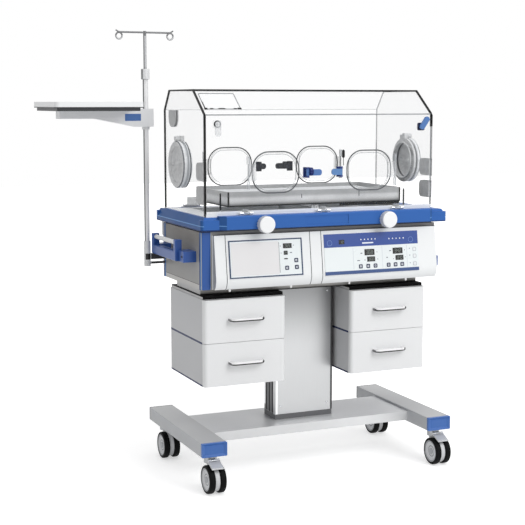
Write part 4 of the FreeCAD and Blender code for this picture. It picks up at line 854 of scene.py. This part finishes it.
def make_hood_edges():
    black = finish("edge_black", edge_dark_reflection, gloss=0.1)
    front, low = hood_front + 6.5, hood_foot + 4.0
    side = hood_half - 2.6
    corners = [(hood_back - 3, low), (hood_back - 3, hood_back_fold_z), (hood_top_back, hood_top - 3),
               (hood_top_front, hood_top - 3), (front, hood_fold_z + 2)]
    bm = bmesh.new()
    for way, foot, first in ((-1, low, 0), (1, corner_stop, 2)):
        path = (corners + [(front, foot)])[first:]
        for start, end in zip(path, path[1:]):
            add_edge(bm, way * side, start, end, edge_w)
    for y in (hood_top_front, hood_top_back):
        add_line(bm, hood_half, y, hood_top - 2.6, edge_w, edge_w * 0.8)
    add_piece("hood_bonded_edges", bm, black, "hood")
    bm = bmesh.new()
    add_line(bm, hood_half - glass, hood_front + 6, hood_fold_z + 1, fold_w, fold_w)
    add_edge(bm, side, (front, low), (front, corner_stop), back_edge_w)
    add_plain("hood_fold_lines", bm, moulded(150, 154, 158, rough=0.25, alpha=0.75), "hood", "clear_acrylic")
    bm = bmesh.new()
    add_line(bm, hood_half - glass, hood_back - 3, hood_back_fold_z, back_edge_w, back_edge_w)
    for start, end in zip(corners[:2], corners[1:3]):
        add_edge(bm, side, start, end, back_edge_w)
    add_plain("hood_back_lines", bm, moulded(196, 200, 204, rough=0.25, alpha=0.22), "hood", "clear_acrylic")
    bm = bmesh.new()
    front = hood_front + 2.5
    for x, foot in ((-hood_half + 2.5, door_edge_foot), (hood_half - 2.5, corner_stop)):
        add_edge(bm, x, (front, foot), (front, hood_fold_z - 1), door_edge_w)
    add_piece("door_side_edges", bm, black, "front_door")


# Bed: black lines along the tray's foot, a painted shadow, and up its front corners, a painted dark
# reflection
tray_half_x, tray_half_y = 345.0, 165.0
bed_line_w = 4.6
channel_left_end = 96.0


def make_bed_dark_lines():
    x, y, low, high = tray_half_x - 2.2, 2.2 - tray_half_y, 987.2, 1037.0
    bm = bmesh.new()
    add_line(bm, x, y, low, bed_line_w, bed_line_w)
    for side in (-x, x):
        add_edge(bm, side, (y, low), (y, high), bed_line_w)
        add_edge(bm, side, (y, low), (-y, low), bed_line_w)
    # A black channel under the right half of the tray's front
    add_bar(bm, stand(channel_left_end, y + 3.0, low - 6.5), stand(x, y + 3.0, low - 6.5), to_y, 5.0, 9.0)
    add_plain("bed_trim", bm, moulded(8, 8, 9, rough=0.5), "bed", "grey_rubber", gloss=0.1)
    bm = bmesh.new()
    y = -tray_half_y - 0.2
    for x, high in ((172.0, 1030.0), (-60.0, 1024.0)):
        add_bar(bm, stand(x, y, 1010.0), stand(x, y, high), to_x, 2.6, 1.0)
    add_plain("bed_clips", bm, moulded(84, 86, 90, rough=0.5), "bed", "grey_rubber")


# Ribbed hubs on the latches and ribbed knobs on the iris ports' catches, turned about X
def add_ribbed(bm, low, high, y, z, radius, ribs, deep, soft):
    def reach(angle, share):
        return (radius - deep * max(0.0, math.cos(ribs * angle))) * share
    ends = ((low, 0.86), (low + soft, 1.0), (high - soft, 1.0), (high, 0.86))
    add_loops(bm, [loop_round_x(x, y, z, ribs * 6, lambda angle: reach(angle, share)) for x, share in ends])


def make_hubs():
    navy = moulded(26, 42, 104)
    dark = moulded(12, 14, 26)
    for place, x, surface in (("front_left", -54.0, navy), ("back_right", 50.0, dark),
                              ("back_left", -58.0, dark)):
        face = -1 if "front" in place else 1
        bm = bmesh.new()
        add_ribbed(bm, x - 7.0, x + 7.0, face * (hood_back + 13.5), port_z,
                   radius=15.0, ribs=8, deep=2.4, soft=2.0)
        add_plain("hub_" + place, bm, surface, "port_latch_" + place, "navy_plastic", gloss=0.15)
    for side, way in (("left", -1), ("right", 1)):
        bm = bmesh.new()
        low, high = sorted((way * (hood_half + 14.2), way * (hood_half + 33.0)))
        add_ribbed(bm, low, high, 0.0, iris_z + iris_r + 8.0, radius=10.0, ribs=9, deep=1.4, soft=3.0)
        add_plain("iris_knob_" + side, bm, mottled_grey, "hood", "grey_plastic")


# A slim black guide post on the deck's right front, and the black pin on the front right port's latch
def make_posts():
    bm = bmesh.new()
    add_post(bm, 349.0, -183.0, [(hood_foot, 3.2), (1030.0, 3.2), (1034.0, 1.6)])
    add_plain("guide_post", bm, moulded(14, 14, 16), "base", "grey_rubber")
    bm = bmesh.new()
    add_post(bm, 79.0, hood_front - 6.5, [(1126.0, 1.2), (1153.0, 1.2), (1154.0, 3.8), (1158.0, 5.2),
                                          (1176.0, 5.2), (1181.0, 3.4), (1182.5, 1.2)])
    add_plain("latch_pin", bm, moulded(14, 15, 17), "front_door", "navy_plastic", gloss=0.2)


def port_outline(x, y, grow):
    outline = rounded_outline(port_w + 2 * grow, port_h + 2 * grow, port_round + grow, steps=10)
    return [stand(x + u, y, port_z + v) for u, v in outline]


def make_port_seals():
    dark = finish("port_rim_grey", moulded(74, 78, 82, rough=0.35, alpha=0.9))
    for place in port_places:
        x = -port_x if "left" in place else port_x
        y = hood_front - 0.4 - glass / 2 if "front" in place else hood_back + 0.4 + glass / 2
        bead("port_rim_" + place, [port_outline(x, y, 0.3)], 2.3, dark, "port_door_" + place, "grey_rubber")
    seal = finish("port_seal_clear", moulded(206, 210, 213, alpha=0.4))
    for name, y, body in (("front_port_seals", hood_front + glass / 2, "front_door"),
                          ("back_port_seals", hood_back - glass / 2, "hood")):
        loops = [port_outline(x, y, -port_lap - 0.6) for x in (-port_x, port_x)]
        bead(name, loops, 1.6, seal, body, "grey_rubber")


# The small clear plate on the hood's front slope, left bare
plate_x, plate_w = -371.0, 134.0
plate_clips = ((-63.0, 12.0, 10.0), (-42.0, 14.0, 5.0), (-4.0, 26.0, 5.0), (46.0, 12.0, 5.0),
               (62.0, 14.0, 9.0))


def make_slope_plate():
    fall = Vector((0, hood_top_front - hood_front, hood_top - hood_fold_z))
    up = fall.normalized()
    out = Vector((0, -up.z, up.y))

    def place(u, v, level):
        return stand(0, hood_front, hood_fold_z) + (Vector((u, 0, 0)) + up * v + out * level) * mm
    v, height = fall.length * 0.5 + 4.0, fall.length * 0.61
    bm = bmesh.new()
    add_frame(bm, place, plate_x, v, plate_w, height, radius=4.0, band=2.2, out=0.1, thick=1.2)
    add_plain("slope_plate_edge", bm, moulded(96, 100, 104, alpha=0.85), "hood", "clear_acrylic")
    bm = bmesh.new()
    add_plate(bm, place, plate_x, v, plate_w - 6, height - 6, radius=3.0, out=0.1, thick=0.8)
    add_plain("slope_plate", bm, moulded(240, 242, 243, rough=0.3, alpha=0.18), "hood", "clear_acrylic",
              clear=0.2)
    bm = bmesh.new()
    foot = v - height / 2
    for along, wide, tall in plate_clips:
        add_plate(bm, place, plate_x + along, foot + 2.0, wide, tall, radius=2.0, out=1.3, thick=1.0)
    left = plate_x - plate_w / 2 + 1.2
    add_bar(bm, place(left, foot, 1.8), place(left, v - 4.0, 1.8), to_x, width=3.4, depth=1.4)
    add_plain("slope_plate_clips", bm, moulded(12, 13, 14), "hood", "grey_plastic", gloss=0.1)


# Iris ports: a pleated sleeve that closes round an arm, and a grip ring with ribs
def make_iris_sleeves():
    rubber = finish("sleeve_rubber", mottled_grey)
    rings, spokes, pleats = 12, 168, 28
    for side, way in (("left", -1), ("right", 1)):
        middle = way * (iris_ring_x + iris_ring_w / 2)
        rows = []
        for index in range(rings + 1):
            share = index / rings
            radius = iris_bore_r + 1.0 + (iris_eye_r - iris_bore_r - 1.0) * share
            swing = math.sin(math.pi * min(share * 1.15, 1.0))
            row = []
            for angle in turns(spokes):
                bulge = 2.6 * math.sin(pleats * angle + 5.0 * share) * swing
                rise = 3.4 * math.sin(math.pi * share) + bulge
                row.append(stand(middle + way * rise, radius * math.cos(angle),
                                 iris_z + radius * math.sin(angle)))
            rows.append(row)
        back = [[point - Vector((way * 1.6 * mm, 0, 0)) for point in row] for row in reversed(rows)]
        bm = bmesh.new()
        add_ring(bm, rows + back)
        sleeve = add_piece("iris_sleeve_" + side, bm, rubber, "iris_ring_" + side, 60.0)
        make_iris_grip(side, way)
        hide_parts("iris_ring_" + side)


def make_iris_grip(side, way):
    middle = tuple(stand(0, 0, iris_z))
    outer = unlike(round_axis(middle, (iris_r - 2.6) * mm))
    edge_in = iris_ring_x + iris_ring_w - 5.0
    plastic = finish("grip_%s_grey" % side, mottled_grey, [
        (outer, moulded(112, 115, 120)),
        (both(outer, region(x0=-edge_in, x1=edge_in)), moulded(232, 234, 236, rough=0.35))])
    profile = [(iris_bore_r, 0.0), (iris_r - 2.0, 0.0), (iris_r, 1.6), (iris_r, iris_ring_w - 3.0),
               (iris_r - 3.0, iris_ring_w), (iris_bore_r + 5.0, iris_ring_w),
               (iris_bore_r + 4.0, iris_ring_w - 2.4), (iris_bore_r, iris_ring_w - 4.0)]
    spokes, ribs = 192, 32

    def reach(radius, angle):
        return radius - 1.1 * max(0.0, math.cos(ribs * angle)) if radius == iris_r else radius
    bm = bmesh.new()
    add_ring(bm, [loop_round_x(way * (iris_ring_x + out), 0.0, iris_z, spokes,
                               lambda angle: reach(radius, angle)) for radius, out in profile])
    add_piece("iris_grip_" + side, bm, plastic, "iris_ring_" + side, 40.0)


# Panel faces: displays with plain digits, keys, lamps and small marks
strokes = {"a": (0, 1, 1), "g": (0, 0, 1), "d": (0, -1, 1), "f": (-1, 0.5, 0), "b": (1, 0.5, 0),
           "e": (-1, -0.5, 0), "c": (1, -0.5, 0)}
digit_strokes = {"0": "abcdef", "1": "bc", "2": "abged", "3": "abgcd", "4": "fgbc", "5": "afgcd",
                 "6": "afgedc", "8": "abcdefg"}


def add_digits(bm, text, x, v, height, out):
    wide, pitch, thin = height * 0.5, height * 0.78, height * 0.12
    start = x - pitch * (len(text) - 1) / 2
    for index, letter in enumerate(text):
        for key in digit_strokes[letter]:
            side, up, level = strokes[key]
            span = (wide, thin) if level else (thin, height * 0.46)
            add_plate(bm, on_panel, start + index * pitch + side * wide / 2, v + up * height / 2, *span,
                      radius=thin * 0.3, out=out, thick=0.15, bevel=0.05)


# Each panel's right edge and its face: insets are measured left from that edge, heights from the low line
left_panel_edge, right_panel_edge = -89.0, 384.0
left_face, right_face = 1.0, 2.0
left_windows = ((57.0, 103.0, 34.0, 17.0, "365"), (64.5, 78.5, 15.0, 14.0, "24"), (64.5, 57.5, 14.0, 4.0, ""))
left_keys = ((25.0, 50.5), (62.0, 25.0), (24.0, 26.0))
right_windows = ((315.0, 106.0, 22.0, 16.0, "12"), (204.0, 65.0, 41.0, 22.0, "368"),
                 (87.0, 65.0, 41.0, 22.0, "342"), (198.5, 39.5, 33.0, 18.0, "360"),
                 (80.5, 39.5, 33.0, 18.0, "340"))
right_keys = ((242.5, 14.7), (212.0, 14.7), (182.0, 14.7), (127.5, 14.7), (98.5, 14.7), (70.5, 14.7))
pale_keys = ((16.5, 67.5), (16.5, 42.5), (16.5, 14.0))
left_marks = ((84.0, 103.0, 3.0), (33.0, 104.0, 3.0), (82.0, 78.0, 2.4), (44.0, 78.5, 8.0))
right_marks = ((237.0, 62.0, 8.0), (173.0, 64.0, 3.0), (250.0, 36.0, 11.0), (224.0, 37.0, 4.0),
               (171.0, 38.0, 3.0), (118.0, 66.0, 8.0), (58.0, 66.0, 3.0), (132.0, 42.0, 6.0),
               (106.0, 36.0, 3.0), (56.0, 40.0, 3.0))
panels = ((left_panel_edge, left_face, left_windows, left_keys, left_marks),
          (right_panel_edge, right_face, right_windows, right_keys, right_marks))
key_size = 14.0


def make_displays():
    glass_bm, digit_bm = bmesh.new(), bmesh.new()
    for edge, face, windows, keys, marks in panels:
        for inset, v, width, height, text in windows:
            add_plate(glass_bm, on_panel, edge - inset, v, width, height, radius=1.2, out=face, thick=1.0)
            add_digits(digit_bm, text, edge - inset, v, height * 0.56, face + 1.0)
    black_glass = moulded(14, 15, 17, rough=0.12, grain=300.0, depth=0.1)
    glass_piece = add_plain("display_windows", glass_bm, black_glass, "base", "display_black", coat=0.5)
    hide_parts("displays_and_keys")
    add_plain("display_digits", digit_bm, moulded(118, 128, 122), "base", "panel_film")


def add_key_mark(bm, x, v, out, kind):
    shapes = {"up": ((-2.4, -1.6), (2.4, -1.6), (0.0, 2.4)), "down": ((-2.4, 1.6), (0.0, -2.4), (2.4, 1.6)),
              "round": [(2.3 * math.cos(angle), 2.3 * math.sin(angle)) for angle in turns(16)],
              "bar": ((-2.6, -1.4), (2.6, -1.4), (2.6, 1.4), (-2.6, 1.4))}
    add_loops(bm, [[on_panel(x + a, v + b, out + level) for a, b in shapes[kind]] for level in (0.0, 0.15)])


def make_keys():
    rims, faces, marks, pale_rims = [bmesh.new() for part in range(4)]
    kinds = ("up", "down", "round", "bar")
    for edge, face, windows, keys, small in panels:
        for index, (inset, v) in enumerate(keys):
            x = edge - inset
            add_frame(rims, on_panel, x, v, key_size + 1.0, key_size + 1.0, 3.0,
                      band=3.9, out=face, thick=0.9)
            add_plate(faces, on_panel, x, v, key_size - 7.0, key_size - 7.0, 1.4, out=face, thick=0.8)
            add_key_mark(marks, x, v, face + 0.8, kinds[index % len(kinds)])
    for inset, v in pale_keys:
        x = right_panel_edge - inset
        add_frame(pale_rims, on_panel, x, v, key_size, key_size, 3.0, band=1.4, out=right_face, thick=0.8)
        add_plate(faces, on_panel, x, v, key_size - 3.0, key_size - 3.0, 1.8, out=right_face, thick=0.7)
        add_key_mark(marks, x - 20.0, v + 3.0, right_face, "down")
    add_plain("key_rims", rims, moulded(24, 36, 70), "base", "navy_plastic")
    add_plain("key_faces", faces, moulded(236, 239, 241), "base", "white_plastic")
    add_plain("key_marks", marks, moulded(44, 62, 98, rough=0.5), "base", "navy_plastic")
    add_plain("pale_key_rims", pale_rims, moulded(176, 180, 186), "base", "grey_plastic")


def make_lamps():
    lamps, bar, marks, rules, rings = [bmesh.new() for part in range(5)]
    for start, pitch, v in ((148.0, 14.5, 112.0), (263.5, 15.0, 110.5)):
        for index in range(5):
            add_plate(lamps, on_panel, start + index * pitch, v, 4.8, 4.8, 2.3, right_face,
                      thick=0.8, bevel=0.4)
    add_plate(bar, on_panel, 175.0, 99.0, width=46.0, height=5.0, radius=1.0, out=right_face, thick=0.3)
    # Small grey marks beside the displays stand for symbols
    for edge, face, windows, keys, small in panels:
        for inset, v, width in small:
            add_plate(marks, on_panel, edge - inset, v, width, height=3.0, radius=0.8, out=face, thick=0.15)
    for x in (113.3, 232.4, 335.5):
        add_plate(rules, on_panel, x, 44.0, width=1.2, height=80.0, radius=0.4, out=right_face, thick=0.15)
    for x in (20.5, 354.0):
        add_frame(rings, on_panel, x, 104.0, 20.0, 20.0, radius=9.6, band=1.2, out=right_face, thick=0.3)
    for name, bm, surface in (("indicator_lamps", lamps, moulded(244, 247, 250, rough=0.3)),
                              ("scale_bar", bar, moulded(234, 240, 248)),
                              ("panel_marks", marks, moulded(84, 92, 104, rough=0.5)),
                              ("panel_rules", rules, moulded(196, 202, 210, rough=0.5)),
                              ("sounder_rings", rings, moulded(120, 150, 205))):
        add_plain(name, bm, surface, "base", "panel_film")


def make_left_door():
    # The hatch in the left panel is a shade greyer than the fascia, with a seam before the keys
    bm = bmesh.new()
    add_plate(bm, on_panel, -270.5, 63.0, width=181.0, height=116.0, radius=2.0, out=left_face, thick=0.5)
    add_plain("left_panel_sheet", bm, moulded(230, 229, 230, rough=0.35, shade=0.03), "base", "panel_film")
    bm = bmesh.new()
    add_plate(bm, on_panel, -178.5, 63.0, width=1.8, height=108.0, radius=0.6, out=left_face, thick=0.4)
    add_plain("left_panel_seam", bm, moulded(140, 142, 146, rough=0.5), "base", "grey_plastic")


# Pins under the fascia and screws that show
def make_screws():
    bright = finish("screw_steel", moulded(210, 212, 214, rough=0.25, metal=1.0))
    dark = finish("screw_black", moulded(36, 37, 40))
    pins = bmesh.new()
    for x in (-362.8, -127.2, 106.0, 340.6):
        add_post(pins, x, -222.0, [(707.0, 3.8), (696.5, 3.8), (694.5, 2.4)], sides=10)
    add_plain("fascia_pins", pins, moulded(250, 250, 250, rough=0.35), "base", "white_plastic")
    screws("column_screws", [(x, -62.4, z) for x in (-96.0, 96.0) for z in (222.0, 650.0)], 0, bright, 0.8)
    screws("filter_screws", [(x, 245.6, 880.0) for x in (-430.0, -144.0, 144.0, 430.0)], 180, dark, 0.9)
    shell_x = (-430.0, -215.0, 0.0, 215.0, 430.0)
    screws("shell_back_screws", [(x, 185.8, 722.0) for x in shell_x], 180, bright, 0.9)
    screws("left_handle_screws", [(-512.9, -150.0, 816.0)], -90, dark, 0.9)
    screws("right_handle_screws", [(512.9, -150.0, 754.0)], 90, dark, 0.9)


# The mattress is a thin foam pad in a white cover, swelled a little by a cloth simulation
pad_shrink = (0.012, 0.012, 0.010)
pad_round, pad_voxel, pad_travel = 0.012, 0.006, 0.006


def make_mattress():
    low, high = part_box("mattress")
    size = high - low
    middle = (low + high) / 2
    bm = bmesh.new()
    bmesh.ops.create_cube(bm, size=1.0)
    for vert in bm.verts:
        for axis in range(3):
            vert.co[axis] = middle[axis] + vert.co[axis] * (size[axis] - pad_shrink[axis])
    pad = link_piece("mattress_pad", take_mesh("mattress_pad", bm))
    bevel = pad.modifiers.new("round", "BEVEL")
    bevel.width = pad_round
    bevel.segments = 3
    voxels = pad.modifiers.new("voxels", "REMESH")
    voxels.mode = "VOXEL"
    voxels.voxel_size = pad_voxel
    apply_modifiers(pad)
    rest = [vert.co.copy() for vert in pad.data.vertices]
    swell(pad)
    cap_travel(pad, rest, pad_travel, low, high)
    smooth = pad.modifiers.new("smooth", "SUBSURF")
    smooth.levels = 1
    smooth.render_levels = 1
    apply_modifiers(pad)
    pad.data.materials.clear()
    pad.data.materials.append(finish("mattress_cover", woven(214, 216, 219), bump=0.0003))
    pad.data.shade_smooth()
    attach(pad, "bed")
    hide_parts("mattress")


def swell(piece):
    last_frame = 20
    cloth = piece.modifiers.new("cloth", "CLOTH")
    cloth.settings.use_pressure = True
    cloth.settings.uniform_pressure_force = 4.0
    cloth.settings.quality = 5
    cloth.settings.effector_weights.gravity = 0.0
    cloth.point_cache.frame_start = 1
    cloth.point_cache.frame_end = last_frame
    for number in range(1, last_frame + 1):
        scene.frame_set(number)
    apply_modifiers(piece)
    scene.frame_set(1)


def cap_travel(piece, rest, most, low, high):
    margin = 0.0006
    for vert, start in zip(piece.data.vertices, rest):
        move = vert.co - start
        if move.length > most:
            move = move * (most / move.length)
        place = start + move
        for axis in range(3):
            place[axis] = min(max(place[axis], low[axis] + margin), high[axis] - margin)
        vert.co = place


# Studio
floor_glow, world_light = 0.5, 0.46
floor_half, floor_drop = 14.0, 0.0005
white = (1.0, 1.0, 1.0, 1.0)


def make_floor():
    bm = bmesh.new()
    corners = [Vector((0.5 + a * floor_half, 1.5 + b * floor_half, -floor_drop))
               for a, b in ((-1, -1), (1, -1), (1, 1), (-1, 1))]
    bm.faces.new([bm.verts.new(point) for point in corners])
    floor = link_piece("studio_floor", take_mesh("studio_floor", bm))
    material = bpy.data.materials.new("floor_white")
    tree = clear_tree(material)
    place = place_node(tree, "ShaderNodeTexCoord").outputs["Object"]
    # The floor's own glow fades to white away from the object
    away = place_node(tree, "ShaderNodeVectorMath", {"operation": "DISTANCE"},
                      {0: place, 1: tuple(stand(0, 0, 0))}).outputs["Value"]
    glow = calc(tree, "MULTIPLY", seen_rays(tree), smooth_steps(tree, away, 0.7, 2.6, floor_glow, 1.0))
    paper = use_group(tree, moulded_surface, Place=place, Colour=srgb(232, 232, 232), Grain=300.0, Depth=0.2,
                      Shade=0.01, Patch=3.5, Roughness=0.85)
    end_shader(tree, place_node(tree, "ShaderNodeBsdfPrincipled", None, {
        "Base Color": paper["Colour"], "Roughness": paper["Roughness"], "Specular IOR Level": 0.2,
        "Emission Color": white, "Emission Strength": glow}))
    floor.data.materials.append(material)


def make_world():
    scene.world = bpy.data.worlds.new("studio")
    tree = clear_tree(scene.world)
    strength = mix_number(tree, seen_rays(tree), world_light, 1.0)
    back = place_node(tree, "ShaderNodeBackground", None, {"Color": white, "Strength": strength})
    end_shader(tree, back, "ShaderNodeOutputWorld")


def add_lamp(name, place, size, power):
    lamp = bpy.data.lights.new(name, "AREA")
    lamp.shape = "SQUARE"
    lamp.size = size
    lamp.energy = power
    holder = link_piece(name, lamp)
    holder.location = place
    holder.rotation_euler = (stand(0, 0, 800) - place).to_track_quat("-Z", "Y").to_euler()


def make_studio_lamps():
    add_lamp("key_lamp", stand(1500, -3300, 3000), 2.4, 86.0)
    add_lamp("top_lamp", stand(-200, 100, 4200), 3.0, 52.0)
    add_lamp("fill_lamp", stand(-3600, -1600, 1700), 2.4, 7.0)


def make_camera():
    camera = bpy.data.cameras.new("photo_view")
    camera.sensor_width = 36.0
    camera.lens = 84.80
    holder = link_piece("photo_view", camera)
    holder.location = stand(-1947.1, -4188.1, 1351.5)
    yaw, pitch = 23.313, 7.395
    holder.rotation_euler = (math.radians(90 - pitch), 0.0, math.radians(-yaw))
    scene.camera = holder


scene.view_settings.view_transform = "Standard"
make_camera()
dress_stand()
dress_cabinet()
dress_pole()
dress_shelf()
dress_drawers()
dress_casters()
dress_hood()
dress_panels()
make_hood_edges()
make_bed_dark_lines()
make_posts()
make_hubs()
make_port_seals()
make_slope_plate()
make_iris_sleeves()
make_displays()
make_keys()
make_lamps()
make_left_door()
make_screws()
make_mattress()
make_floor()
make_world()
make_studio_lamps()
